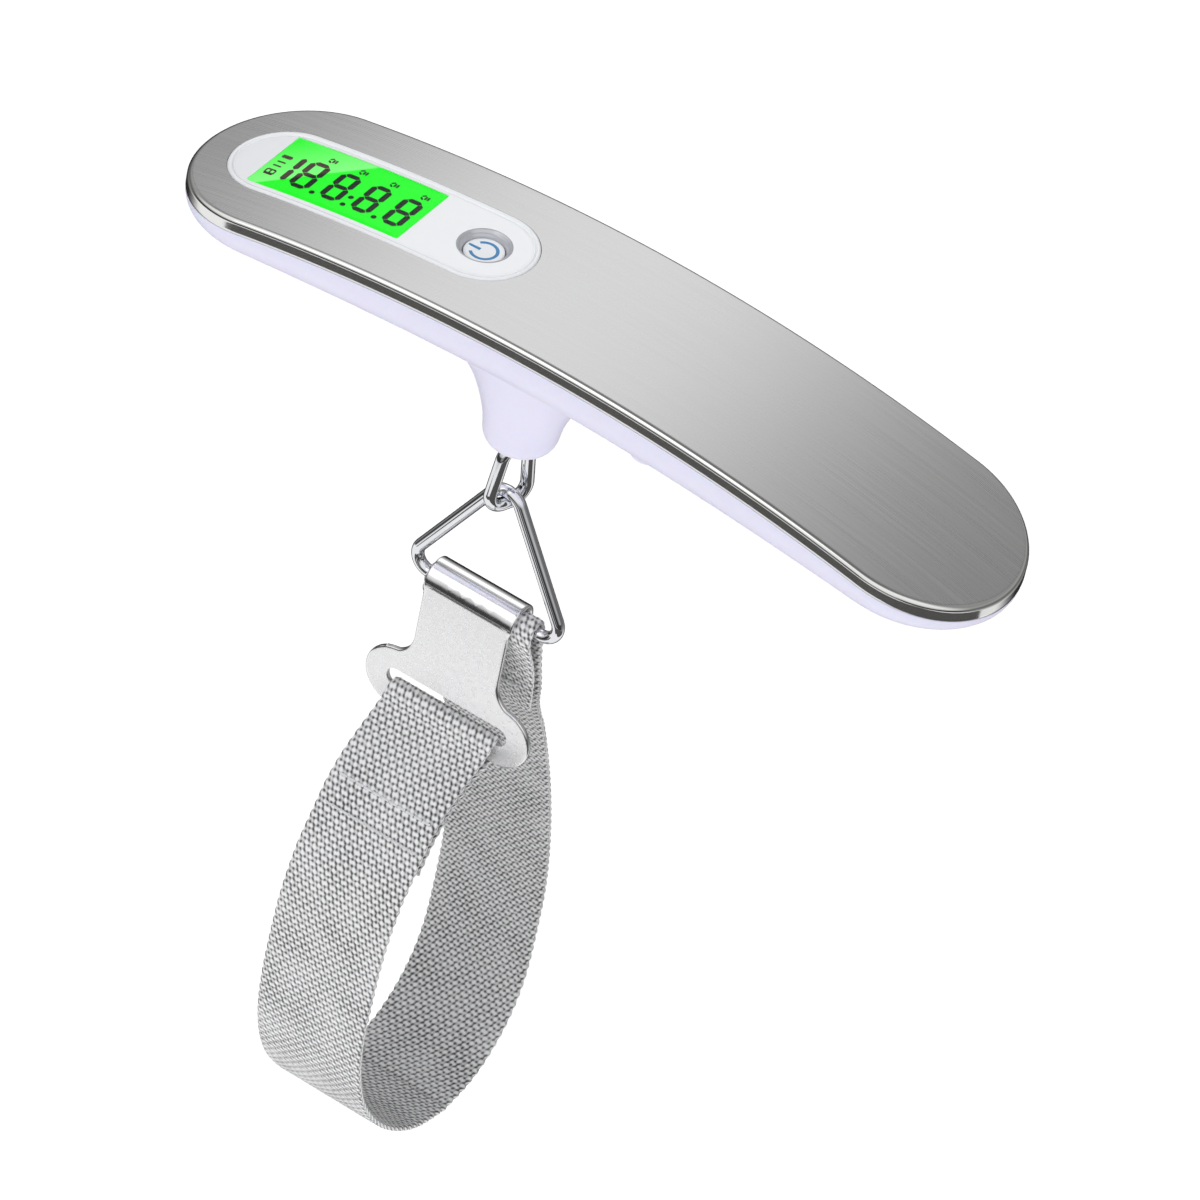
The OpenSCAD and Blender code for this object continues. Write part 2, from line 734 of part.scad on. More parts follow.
line_steps = 4;
strap_path = smooth(strap_line, line_steps);
end_path = smooth(end_line, line_steps);

module strap() {
    webbing(strap_path, smooth(strap_middle, 2));
}

module strap_end() {
    webbing(end_path, end_middle);
}

thread = 0.3;
stitch_length = 2.2;
stitch_x = [-8 : 3.2 : 8];

// Rows of stitches lying on the front of the webbing, each at a point of its path
module stitches(path, middle, rows) {
    seats = side_of(path, -(strap_thickness / 2 + thread + 0.03));
    color("white") for (x = stitch_x, i = rows)
        translate([middle + x, seats[i].x, seats[i].y]) rotate([0, 90, 0])
            cylinder(r = thread, h = stitch_length, center = true, $fn = 16);
}

module strap_stitching() {
    stitches(strap_path, -12.6, [5, 7]);
}

module end_stitching() {
    stitches(end_path, -13.6, [5, 9]);
}

steel_cover();
cover_tape();
upper_frame();
display_bezel();
display_lens();
lcd_panel();
backlight_panel();
contact_strips();
circuit_board();
control_chip();
crystal();
tact_switch();
board_screws();
lower_casing();
casing_screws();
neck_bush();
load_cell();
strain_gauges();
load_cell_washers();
load_cell_screws();
hook_washer();
battery_tray();
battery_cell();
positive_contact();
negative_spring();
gauge_wires();
battery_wires();
power_button();
switch_plunger();
hook_eye();
hook_nut();
triangle_ring();
strap();
strap_stitching();
hook_plate();
strap_end();
end_stitching();
battery_door();
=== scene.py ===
"""Digital luggage scale: the visible surfaces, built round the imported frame.

Lengths are in mm until a mesh is made.
"""
from math import asin, atan2, ceil, cos, dist, hypot, pi, radians, sin, sqrt

import bmesh
import bpy
import numpy as np
from mathutils import Matrix, Vector
from mathutils.geometry import delaunay_2d_cdt


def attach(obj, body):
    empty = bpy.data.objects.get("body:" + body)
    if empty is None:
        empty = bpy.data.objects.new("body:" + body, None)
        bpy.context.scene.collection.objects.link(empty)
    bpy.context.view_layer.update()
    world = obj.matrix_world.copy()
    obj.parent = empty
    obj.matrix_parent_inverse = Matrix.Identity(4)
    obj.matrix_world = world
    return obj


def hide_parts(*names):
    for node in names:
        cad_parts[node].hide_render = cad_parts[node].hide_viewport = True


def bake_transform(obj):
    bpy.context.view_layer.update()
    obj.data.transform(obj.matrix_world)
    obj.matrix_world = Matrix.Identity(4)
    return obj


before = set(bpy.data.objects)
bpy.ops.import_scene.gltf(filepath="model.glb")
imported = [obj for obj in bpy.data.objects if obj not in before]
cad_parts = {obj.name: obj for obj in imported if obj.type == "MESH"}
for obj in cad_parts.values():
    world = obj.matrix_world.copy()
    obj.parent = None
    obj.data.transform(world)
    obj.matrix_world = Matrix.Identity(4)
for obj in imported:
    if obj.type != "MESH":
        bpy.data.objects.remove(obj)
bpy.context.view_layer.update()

MM = 0.001
scene = bpy.context.scene

# ---------------- the grip's shape, as in part.scad
ARCH = 294.0
BODY_LENGTH, BODY_WIDTH = 147.4, 34.6
END_RADIUS = BODY_WIDTH / 2
END_X = BODY_LENGTH / 2 - END_RADIUS
RIM = 2.6
COVER_THICKNESS = 0.6
CASING_DEPTH, END_TAPER, CASING_WALL = 10.0, 0.53, 1.5
NECK_X, NECK_RADIUS, NECK_BOTTOM, NECK_ROUND = -11.0, 6.1, -32.8, 2.8
FLARE = [(-28.5, 6.2, 6.2), (-25.5, 7, 6.8), (-22.5, 8.2, 7.5), (-19.5, 10, 8.2), (-17, 12.5, 9),
         (-14.8, 16, 9.6), (-13, 20.5, 10.2), (-11.4, 26, 10.8)]
BEZEL_X, BEZEL_LENGTH, BEZEL_WIDTH = -41.55, 53.6, 17.7
BEZEL_STRAIGHT = (BEZEL_LENGTH - BEZEL_WIDTH) / 2       # half the length of its straight sides
BUTTON_X, CELL_X = -23.3, 52.0
BAR_Z, PLATE_X = -66.4, -12.3
IN_NECK = Matrix.Translation((NECK_X, 0, 0))
STRAP_WIDTH = 20.4


def arch(x, depth=0.0):
    return np.sqrt((ARCH - depth) ** 2 - np.asarray(x, float) ** 2) - ARCH


def on_arch(x):
    """The CAD's frame on the arch: z along the surface's normal."""
    return Matrix.Translation((x, 0, float(arch(x)))) @ Matrix.Rotation(asin(x / ARCH), 4, "Y")


# ---------------- meshes
WELD = 2e-6             # m


def finish_mesh(obj, angle):
    """Welds corners, drops doubled and hanging faces, turns the rest outwards, and smooths below an angle."""
    work = bmesh.new()
    work.from_mesh(obj.data)
    bmesh.ops.triangulate(work, faces=[f for f in work.faces if len(f.verts) > 4])
    bmesh.ops.remove_doubles(work, verts=work.verts, dist=WELD)
    same_corners = {}
    for f in work.faces:
        same_corners.setdefault(frozenset(f.verts), []).append(f)
    flaps = [f for group in same_corners.values() for f in group
             if len(group) > 1 or sum(e.is_boundary for e in f.edges) >= len(f.edges) - 1]
    bmesh.ops.delete(work, geom=flaps, context="FACES")
    bmesh.ops.recalc_face_normals(work, faces=work.faces)
    work.to_mesh(obj.data)
    work.free()
    obj.data.shade_smooth()
    if angle < 180:
        obj.data.set_sharp_from_angle(angle=radians(angle))


def raw(name, points, faces, clean=True, angle=32):
    """An object from points in mm."""
    mesh = bpy.data.meshes.new(name)
    mesh.from_pydata([tuple(c * MM for c in p) for p in points], [], [tuple(f) for f in faces])
    mesh.update()
    obj = bpy.data.objects.new(name, mesh)
    scene.collection.objects.link(obj)
    if clean:
        finish_mesh(obj, angle)
    return obj


def dress(obj, body, slot, replaces=(), material=None):
    """Gives a piece its material, from its slot unless one is given, hangs it on its body, and hides the CAD
    nodes that it stands for.
    """
    obj.data.materials.clear()
    obj.data.materials.append(material or LOOKS[slot])
    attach(obj, body)
    if replaces:
        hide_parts(*replaces)


def second_material(obj, material, chosen):
    obj.data.materials.append(material)
    for face in obj.data.polygons:
        if chosen(face):
            face.material_index = 1


def joined(*shapes):
    """Several (points, faces) as one."""
    points, faces = [], []
    for p, f in shapes:
        start = len(points)
        points += list(p)
        faces += [[i + start for i in face] for face in f]
    return points, faces


def moved(shape, matrix):
    return [matrix @ Vector(p) for p in shape[0]], shape[1]


def grid_faces(rows, columns, wrap_rows=False, wrap_columns=True):
    """Quads between neighbouring points that are stored row by row."""
    faces = []
    for i in range(rows if wrap_rows else rows - 1):
        a, b = i * columns, ((i + 1) % rows) * columns
        for k in range(columns if wrap_columns else columns - 1):
            m = (k + 1) % columns
            faces.append([a + k, b + k, b + m, a + m])
    return faces


def prism_faces(n):
    """Ends and sides between two outlines of n points."""
    ends = [list(range(n)), [n + k for k in reversed(range(n))]]
    return ends + [[k, (k + 1) % n, n + (k + 1) % n, n + k] for k in range(n)]


def lathe(profile, segments=72, axis=Matrix.Identity(4)):
    """Closed or axis-to-axis profile of (radius, height), turned round z."""
    points = []
    for k in range(segments):
        a = 2 * pi * k / segments
        points += [(r * cos(a), r * sin(a), z) for r, z in profile]
    closed = profile[0][0] > 0 and profile[-1][0] > 0
    return moved((points, grid_faces(segments, len(profile), True, closed)), axis)


def tube(path, radius, up, sides=28, closed=True, rise=None):
    """Round bar along a path; rise is its radius along the up direction if it isn't round."""
    path = [Vector(p) for p in path]
    n = len(path)
    points = []
    for i, p in enumerate(path):
        a = path[(i + 1) % n] if closed else path[min(i + 1, n - 1)]
        b = path[i - 1] if closed else path[max(i - 1, 0)]
        d = (a - b).normalized()
        side = Vector(up).cross(d).normalized()
        top = d.cross(side)
        for k in range(sides):
            t = 2 * pi * k / sides
            points.append(p + radius * cos(t) * side + (rise or radius) * sin(t) * top)
    faces = grid_faces(n, sides, closed)
    if not closed:
        faces += [list(range(sides)), [(n - 1) * sides + k for k in reversed(range(sides))]]
    return points, faces


def smooth_line(points, steps):
    """Catmull-Rom through the points, as in part.scad."""
    p = [np.array(q, float) for q in points]
    last = len(p) - 1
    out = []
    for i in range(last):
        a, b, c, d = p[max(i - 1, 0)], p[i], p[i + 1], p[min(i + 2, last)]
        for s in range(steps):
            t = s / steps
            out.append(0.5 * (2 * b + (c - a) * t + (2 * a - 5 * b + 4 * c - d) * t ** 2
                              + (3 * b - a - 3 * c + d) * t ** 3))
    return out + [p[last]]


def across_end(x, y, grid):
    """Points between a sheet's two corners, where its end is straight."""
    steps = int(2 * y / grid)
    return [(x, -y + 2 * y * k / steps) for k in range(1, steps)]


def clamp(value, low, high):
    return min(max(value, low), high)


def outline_normals(line):
    """Outward normals of a closed outline that may hold doubled points."""
    n = len(line)
    normals = []
    for i, p in enumerate(line):
        after = next(q for q in (line[(i + k) % n] for k in range(1, n)) if dist(p, q) > 1e-6)
        before = next(q for q in (line[(i - k) % n] for k in range(1, n)) if dist(p, q) > 1e-6)
        dx, dy = after[0] - before[0], after[1] - before[1]
        length = hypot(dx, dy)
        normals.append((dy / length, -dx / length))
    return normals


def without_doubles(loop):
    return [q for k, q in enumerate(loop) if dist(q, loop[k - 1]) > 1e-4]


HOLE_MARGIN = 0.6


def inner_spots(levels, half, holes, inset, grid, dense_from):
    """Points inside a sheet's outline, clear of its edge and holes; past dense_from, one row per level."""
    margin = inset + 0.45 * grid
    end = levels[-1] if dense_from is None else dense_from
    rows = list(np.arange(levels[0] + margin, end - margin, grid))
    if dense_from is not None:
        rows += [x for x in levels if dense_from <= x < levels[-1] - inset - 0.05]
    spots = []
    for x in rows:
        reach = min(half(clamp(x + d, levels[0], levels[-1])) for d in (-margin, 0, margin)) - margin
        if reach <= 0:
            continue
        for y in np.linspace(-reach, reach, max(2, 1 + round(2 * reach / grid))):
            if not any(low - HOLE_MARGIN < x < high + HOLE_MARGIN
                       and abs(y) < max(h(clamp(x + d, low, high)) for d in (-0.5, 0, 0.5)) + HOLE_MARGIN
                       for low, high, h in holes):
                spots.append(Vector((x, float(y))))
    return spots


def panel(levels, half, holes, rings, place, grid=2.4, dense_from=None):
    """Thin closed sheet. levels are its x values, half(x) its half width, holes (low, high, half), and
    rings (inset, depth) run from the top face over the edge to the bottom face. place maps (x, y, depth)
    to space."""
    side = [(x, half(x)) for x in levels]
    line = [(x, -y) for x, y in side] + across_end(*side[-1], grid) + [(x, y) for x, y in reversed(side)]
    line += [(x, -y) for x, y in across_end(*side[0], grid)]
    n = len(line)
    normals = outline_normals(line)
    points, faces = [], []

    def add(corners):
        faces.append(list(range(len(points), len(points) + len(corners))))
        points.extend(corners)

    def inset_line(inset):
        return [(x - inset * nx, y - inset * ny) for (x, y), (nx, ny) in zip(line, normals)]

    for (inset_a, depth_a), (inset_b, depth_b) in zip(rings, rings[1:]):
        a, b = inset_line(inset_a), inset_line(inset_b)
        for i in range(n):
            j = (i + 1) % n
            add([place(*a[i], depth_a), place(*a[j], depth_a), place(*b[j], depth_b), place(*b[i], depth_b)])
    loops = []
    for low, high, h in holes:
        inside = [x for x in levels if low - 1e-9 <= x <= high + 1e-9]
        loops.append(without_doubles([(x, -h(x)) for x in inside] + [(x, h(x)) for x in reversed(inside)]))
    for inset, depth in (rings[0], rings[-1]):
        flat, links = [], []
        for loop in [without_doubles(inset_line(inset)), *loops]:
            start, size = len(flat), len(loop)
            flat += [Vector(q) for q in loop]
            links += [(start + k, start + (k + 1) % size) for k in range(size)]
        flat += inner_spots(levels, half, holes, inset, grid, dense_from)
        spots, _, triangles, *_ = delaunay_2d_cdt(flat, links, [], 1, 1e-5)
        for triangle in triangles:
            x = sum(spots[k][0] for k in triangle) / 3
            y = sum(spots[k][1] for k in triangle) / 3
            if not any(low < x < high and abs(y) < h(x) for low, high, h in holes):
                add([place(spots[k][0], spots[k][1], depth) for k in triangle])
    top, bottom = rings[0][1], rings[-1][1]
    for loop in loops:
        for p, q in zip(loop, loop[1:] + loop[:1]):
            add([place(*p, top), place(*q, top), place(*q, bottom), place(*p, bottom)])
    return points, faces


def spread(low, high, step):
    return list(np.linspace(low, high, max(2, int(ceil((high - low) / step)) + 1)))


def round_levels(centre, middle, radius, steps=22):
    """x values that suit a stadium's round ends."""
    bends = [centre + s * (middle + radius * sin(radians(90 * k / steps)))
             for s in (-1, 1) for k in range(steps + 1)]
    return bends + spread(centre - middle, centre + middle, 2.5)


def level_set(*groups):
    values = sorted(v for g in groups for v in g)
    return [v for i, v in enumerate(values) if i == 0 or v - values[i - 1] > 1e-4]


def stadium_half(centre, middle, radius):
    def half(x):
        d = abs(x - centre) - middle
        return radius if d <= 0 else sqrt(max(radius ** 2 - d ** 2, 0))
    return half


def rounded_half(centre, half_length, half_width, corner):
    def half(x):
        d = abs(x - centre) - half_length + corner
        return half_width if d <= 0 else half_width - corner + sqrt(max(corner ** 2 - d ** 2, 0))
    return half


def on_top(x, y, depth):
    return (x, y, float(arch(x, depth)))


# ---------------- materials
class Nodes:
    """Builds the nodes of one tree."""

    def __init__(self, tree):
        self.tree = tree

    def node(self, kind, **values):
        made = self.tree.nodes.new(kind)
        for key, value in values.items():
            if hasattr(made, key):
                setattr(made, key, value)
            else:
                self.give(made.inputs[key.replace("_", " ")], value)
        return made

    def give(self, socket, value):
        if isinstance(value, bpy.types.NodeSocket):
            self.tree.links.new(value, socket)
        else:
            socket.default_value = value

    def math(self, operation, *values):
        made = self.tree.nodes.new("ShaderNodeMath")
        made.operation = operation
        for socket, value in zip(made.inputs, values):
            self.give(socket, value)
        return made.outputs[0]

    def weighted(self, *terms):
        """Sum of (value, weight) terms."""
        total = None
        for value, weight in terms:
            part = self.math("MULTIPLY", value, weight)
            total = part if total is None else self.math("ADD", total, part)
        return total

    def ramp(self, factor, stops):
        made = self.node("ShaderNodeValToRGB")
        self.give(made.inputs[0], factor)
        elements = made.color_ramp.elements
        while len(elements) < len(stops):
            elements.new(0.5)
        for element, (position, color) in zip(elements, stops):
            element.position = position
            element.color = (*color[:3], 1)
        return made.outputs[0]

    def range(self, value, low, high, to_low, to_high):
        made = self.node("ShaderNodeMapRange")
        for socket, given in zip(made.inputs, (value, low, high, to_low, to_high)):
            self.give(socket, given)
        return made.outputs[0]

    def vary(self, noise, low, high):
        """A value that follows a noise, most of which lies between 0.3 and 0.7."""
        return self.range(noise, 0.3, 0.7, low, high)

    def tint(self, noise, dark, light):
        return self.ramp(noise, [(0.3, dark), (0.7, light)])


class Look(Nodes):
    """One procedural material."""

    def __init__(self, name, **sockets):
        self.material = bpy.data.materials.new(name)
        self.material.use_nodes = True
        super().__init__(self.material.node_tree)
        self.shader = self.tree.nodes["Principled BSDF"]
        for key, value in sockets.items():
            self.set(key.replace("_", " "), value)
        self.place = self.node("ShaderNodeTexCoord").outputs["Object"]

    def noise(self, scale, stretch=(1, 1, 1), detail=3.0, vector=None):
        mapping = self.node("ShaderNodeMapping", Scale=stretch, Vector=vector or self.place)
        made = self.node("ShaderNodeTexNoise", Scale=scale, Detail=detail, Vector=mapping.outputs[0])
        return made.outputs["Fac"]

    def bump(self, height, strength, distance=0.0001):
        made = self.node("ShaderNodeBump", Strength=strength, Distance=distance, Height=height)
        self.set("Normal", made.outputs[0])

    def set(self, socket, value):
        self.give(self.shader.inputs[socket], value)


def linear(*srgb):
    """Colour from 0 to 255 as seen on a screen."""
    return tuple((c / 255 / 12.92 if c <= 10 else ((c / 255 + 0.055) / 1.055) ** 2.4) for c in srgb)


def moulded(name, color, rough=0.4, metallic=0.0, grain=900.0, vary=0.06, bump=0.08, stretch=(1, 1, 1),
            **more):
    """Even material with a fine grain in colour, gloss and height."""
    color = linear(*color)
    look = Look(name, Metallic=metallic, **more)
    fine = look.noise(grain, stretch, 4.0)
    broad = look.noise(grain / 30, stretch, 2.0)
    both = look.weighted((fine, 0.6), (broad, 0.4))
    dark = tuple(c * (1 - vary) for c in color)
    light = tuple(min(c * (1 + vary), 1) for c in color)
    look.set("Base Color", look.tint(both, dark, light))
    look.set("Roughness", look.vary(both, max(rough - 0.06, 0.02), rough + 0.06))
    look.bump(fine, bump)
    return look.material


def brushed_metal(name):
    look = Look(name, Metallic=1.0, IOR=2.0)
    streaks = look.noise(1.0, (55, 7000, 55), 3.0)
    wide = look.noise(1.0, (14, 1300, 14), 2.0)
    both = look.weighted((streaks, 0.62), (wide, 0.38))
    tones = [(0.3, linear(199, 199, 200)), (0.52, linear(207, 207, 207)), (0.72, linear(216, 216, 215))]
    look.set("Base Color", look.ramp(both, tones))
    look.set("Roughness", look.vary(both, 0.24, 0.34))
    look.bump(both, 0.06, 0.00005)
    return look.material


def plated(name, color, rough, vary=0.03):
    """Bright plating, with faint polishing marks."""
    color = linear(*color)
    look = Look(name, Metallic=1.0)
    marks = look.noise(2500.0, (1, 1, 0.12), 3.0)
    cloud = look.noise(160.0, (1, 1, 1), 3.0)
    look.set("Base Color", look.tint(cloud, tuple(c * (1 - vary) for c in color), color))
    look.set("Roughness", look.vary(marks, rough * 0.9, rough * 1.1))
    look.bump(marks, 0.006, 0.00002)
    return look.material


ACROSS, ALONG = 0.775, 0.93     # one yarn crossing, mm


def woven(name, painted_shade_factor=1.0):
    """Slanting weave of pale yarns with dark gaps. The cloth map holds metres along and across."""
    look = Look(name, Roughness=0.85, Sheen_Weight=0.12, Sheen_Roughness=0.5)
    cloth = look.node("ShaderNodeUVMap", uv_map="cloth").outputs[0]
    split = look.node("ShaderNodeSeparateXYZ")
    look.give(split.inputs[0], cloth)
    fray = look.math("MULTIPLY", look.math("SUBTRACT", look.noise(700.0), 0.5), 1.6)
    along = look.math("ADD", look.math("MULTIPLY", split.outputs[0], pi * 1000 / ALONG), fray)
    across = look.math("SUBTRACT", look.math("MULTIPLY", split.outputs[1], pi * 1000 / ACROSS), fray)
    crossing = look.math("MULTIPLY", look.math("COSINE", along), look.math("COSINE", across))
    slant = look.math("COSINE", look.math("ADD", look.math("MULTIPLY", across, 2.0), along))
    picks = look.math("COSINE", look.math("MULTIPLY", along, 2.0))
    fibre = look.math("SUBTRACT", look.noise(1.0, (2500, 9000, 1), 2.0, vector=cloth), 0.5)
    patch = look.math("SUBTRACT", look.noise(160.0), 0.5)
    tone = look.weighted((slant, 0.27), (crossing, 0.46), (picks, 0.34), (fibre, 0.7))
    shade = look.math("ADD", tone, look.math("MULTIPLY", patch, 0.5))
    scaled = look.range(shade, -0.9, 0.9, 0.0, 1.0)
    # A factor below 1 darkens every tone: painted shade for a darker copy of the cloth.
    tones = [(at, tuple(c * painted_shade_factor for c in linear(v, v, v + 1)))
             for at, v in ((0.0, 46), (0.2, 92), (0.4, 184), (0.6, 233), (1.0, 253))]
    look.set("Base Color", look.ramp(scaled, tones))
    look.bump(tone, 0.6, 0.00012)
    return look.material


def window_look():
    look = Look("clear_window", Roughness=0.03, IOR=1.15, Transmission_Weight=1.0, Specular_IOR_Level=0.4)
    haze = look.noise(300.0)
    look.set("Base Color", look.tint(haze, (0.97, 1.0, 0.97), (1, 1, 1)))
    look.set("Roughness", look.vary(haze, 0.01, 0.05))
    return look.material


LOOKS = {
    "brushed_cover": brushed_metal("brushed_steel"),
    "film": moulded("tape_film", (225, 225, 220), 0.5, vary=0.04),
    "inner_plastic": moulded("inner_plastic", (225, 226, 230), 0.5),
    "gloss_insert": moulded("gloss_insert", (249, 251, 255), 0.12, grain=500.0, vary=0.01, bump=0.015,
                            Coat_Weight=0.4, Coat_Roughness=0.04),
    "clear_window": window_look(),
    "display_green": moulded("lcd_glass", (40, 190, 60), 0.2, vary=0.04),
    "light_guide": moulded("light_guide", (235, 235, 225), 0.3, vary=0.03),
    "elastomer": moulded("elastomer", (52, 52, 56), 0.7, stretch=(8, 1, 1)),
    "board_green": moulded("board_resist", (20, 92, 48), 0.3, grain=1600.0, vary=0.12),
    "potting": moulded("potting", (22, 22, 24), 0.35, grain=700.0, bump=0.2),
    "small_metal": plated("tinned_metal", (205, 205, 205), 0.25),
    "black_plastic": moulded("black_plastic", (34, 34, 36), 0.5),
    "screw_steel": plated("screw_steel", (176, 178, 182), 0.28),
    "casing_plastic": moulded("casing_plastic", (235, 233, 255), 0.42, grain=1500.0, vary=0.012,
                              bump=0.03, Subsurface_Weight=0.15, Subsurface_Scale=0.002),
    "bush_nylon": moulded("bush_nylon", (228, 226, 214), 0.45),
    "beam_aluminium": moulded("beam_aluminium", (198, 200, 203), 0.35, 1.0, stretch=(0.1, 1, 1)),
    "gauge_film": moulded("gauge_film", (190, 120, 62), 0.4, stretch=(0.2, 3, 1), vary=0.2),
    "contact_brass": plated("contact_brass", (214, 186, 120), 0.25),
    "wire_jacket": moulded("wire_jacket", (168, 36, 34), 0.45, vary=0.08),
    "button_clear": moulded("button_clear", (240, 243, 247), 0.1, grain=500.0, vary=0.015, bump=0.02,
                            Coat_Weight=0.5, Coat_Roughness=0.03),
    "chromed_wire": plated("chromed_wire", (238, 239, 242), 0.06),
    "grey_webbing": woven("grey_webbing"),
    # A darker copy of the webbing: painted shade for the faces that look into the loop
    "shaded_webbing": woven("grey_webbing_shaded", 0.8),
    "white_thread": moulded("white_thread", (226, 227, 228), 0.8, grain=4000.0, vary=0.15, bump=0.4),
    "plated_sheet": plated("plated_sheet", (243, 243, 244), 0.17, 0.015),
}

NODE_SLOTS = {
    "cover_tape": "film", "upper_frame": "inner_plastic", "lcd_panel": "display_green",
    "backlight_panel": "light_guide", "contact_strips": "elastomer", "circuit_board": "board_green",
    "control_chip": "potting", "crystal": "small_metal", "tact_switch": "black_plastic",
    "board_screws": "screw_steel", "casing_screws": "screw_steel", "neck_bush": "bush_nylon",
    "load_cell": "beam_aluminium", "strain_gauges": "gauge_film", "load_cell_washers": "small_metal",
    "load_cell_screws": "screw_steel", "hook_washer": "small_metal", "battery_tray": "black_plastic",
    "battery_cell": "small_metal", "positive_contact": "contact_brass", "negative_spring": "contact_brass",
    "gauge_wires": "wire_jacket", "battery_wires": "wire_jacket", "switch_plunger": "contact_brass",
    "hook_nut": "screw_steel",
}
for node_name, slot_name in NODE_SLOTS.items():
    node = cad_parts[node_name]
    for held in node.material_slots:
        held.material = LOOKS[slot_name]

# ---------------- steel cover
body_half = stadium_half(0, END_X, END_RADIUS)
WINDOW_PLAY = 0.04      # gap between the cover and the insert
EDGE = 0.85             # the pressed edge's radius
window_half = stadium_half(BEZEL_X, BEZEL_STRAIGHT, BEZEL_WIDTH / 2 + WINDOW_PLAY)
window_reach = BEZEL_LENGTH / 2 + WINDOW_PLAY
cover_levels = level_set(round_levels(0, END_X, END_RADIUS, 30),
                         round_levels(BEZEL_X, BEZEL_STRAIGHT, BEZEL_WIDTH / 2 + WINDOW_PLAY))
cover_rings = [(1.5, 0), (EDGE + 0.06, 0)]
cover_rings += [(EDGE * (1 - sin(radians(t))), EDGE * (1 - cos(radians(t))))
                for t in range(0, 91, 10)]
cover_rings += [(0, 0.95), (0, 1.5), (0, 2.05), (0.0, 2.35), (0.05, 2.52), (0.17, RIM), (0.4, RIM),
                (COVER_THICKNESS, 2.45), (COVER_THICKNESS, COVER_THICKNESS)]
window_hole = (BEZEL_X - window_reach, BEZEL_X + window_reach, window_half)
cover = raw("brushed_cover", *panel(cover_levels, body_half, [window_hole], cover_rings, on_top))
dress(cover, "case", "brushed_cover", ["steel_cover"])
second_material(cover, plated("polished_edge", (240, 240, 238), 0.12), lambda face: face.normal.z < 0.93)

# ---------------- display insert
SCREEN_X, SCREEN_HALF, SCREEN_HALF_WIDTH = -48.17, 13.73, 7.15
SCREEN_CORNER, LENS_PLAY = 0.35, 0.03
DISH = 4.35             # radius of the round recess for the button
bezel_half = stadium_half(BEZEL_X, BEZEL_STRAIGHT, BEZEL_WIDTH / 2)
screen_half = rounded_half(SCREEN_X, SCREEN_HALF, SCREEN_HALF_WIDTH, SCREEN_CORNER)
screen_hole = (SCREEN_X - SCREEN_HALF, SCREEN_X + SCREEN_HALF, screen_half)
dish_hole = (BUTTON_X - DISH, BUTTON_X + DISH, stadium_half(BUTTON_X, 0, DISH))
corner_levels = [SCREEN_X + s * (SCREEN_HALF - SCREEN_CORNER + SCREEN_CORNER * sin(radians(a)))
                 for s in (-1, 1) for a in range(0, 91, 18)]
bezel_levels = level_set(round_levels(BEZEL_X, BEZEL_STRAIGHT, BEZEL_WIDTH / 2, 24),
                         corner_levels, round_levels(BUTTON_X, 0, DISH, 16))
bezel_rings = [(1.5, -0.05), (1.22, -0.04), (1.08, 0.02), (0.98, 0.02), (0.9, -0.04), (0.78, -0.15),
               (0.62, -0.23), (0.42, -0.25), (0.24, -0.21), (0.1, -0.1), (0.03, 0.05), (0.02, 0.7),
               (0.02, 1.6)]
bezel = raw("display_insert", *panel(bezel_levels, bezel_half, [screen_hole, dish_hole], bezel_rings, on_top))
dress(bezel, "case", "gloss_insert", ["display_bezel"])

lens_half = rounded_half(SCREEN_X, SCREEN_HALF - LENS_PLAY, SCREEN_HALF_WIDTH - LENS_PLAY, 0.33)
lens_levels = level_set(corner_levels[1:5] + corner_levels[7:11],
                        spread(SCREEN_X - 13.7, SCREEN_X + 13.7, 1.2))
lens_levels = [x for x in lens_levels if abs(x - SCREEN_X) <= SCREEN_HALF - LENS_PLAY]
lens_rings = [(0.1, -0.05), (0.02, 0.0), (0, 0.04), (0, 0.08)]
lens = raw("display_window", *panel(lens_levels, lens_half, [], lens_rings, on_top))
dress(lens, "case", "clear_window", ["display_lens"])


CORNER = (SCREEN_X - SCREEN_HALF, -SCREEN_HALF_WIDTH)     # the screen's front left corner


def past_painted_glare(look):
    """How far a point lies beyond the slanting line where the painted reflection makes the screen pale."""
    split = look.node("ShaderNodeSeparateXYZ", Vector=look.place)
    left, front = CORNER[0] * MM, CORNER[1] * MM
    u = look.range(split.outputs[0], left, left + 2 * SCREEN_HALF * MM, 0, 1)
    v = look.range(split.outputs[1], front, -front, 0, 1)
    return look.math("SUBTRACT", v, look.math("MULTIPLY", look.math("SUBTRACT", u, 0.06), 2.05))


def picture_look():
    """Lit green field with a painted reflection: its upper left half is paler, fading towards the corner."""
    look = Look("lit_display", Roughness=0.4, Emission_Strength=1.0, Specular_IOR_Level=0.1)
    # Painted reflection: the emission turns pale past a slanting line, fading towards the corner.
    beyond = past_painted_glare(look)
    edge = look.range(beyond, 0.0, 0.045, 0, 1)
    fade = look.range(beyond, 0.0, 1.02, 1, 0.05)
    cells = look.noise(2600.0, detail=1.0)
    pale = look.math("MULTIPLY", look.math("MULTIPLY", edge, fade), look.vary(cells, 0.94, 1.0))
    color = look.ramp(pale, [(0.0, linear(3, 250, 24)), (1.0, linear(132, 255, 132))])
    dark = look.ramp(pale, [(0.0, (0.0, 0.02, 0.001)), (1.0, (0.01, 0.03, 0.01))])
    look.set("Base Color", dark)
    look.set("Emission Color", color)
    return look.material


picture_rings = [(0.05, 0.14), (0, 0.16), (0, 0.4)]
picture = raw("screen_picture", *panel(lens_levels, lens_half, [], picture_rings, on_top))
dress(picture, "case", "display_green", material=picture_look())

STROKE = 0.47           # half the width of a segment


def printed(outline):
    """A mark between the window and the lit field; (u, v) are mm from the screen's front left corner."""
    spots = [(CORNER[0] + u, CORNER[1] + v) for u, v in outline]
    return [on_top(x, y, depth) for depth in (0.1, 0.13) for x, y in spots], prism_faces(len(outline))


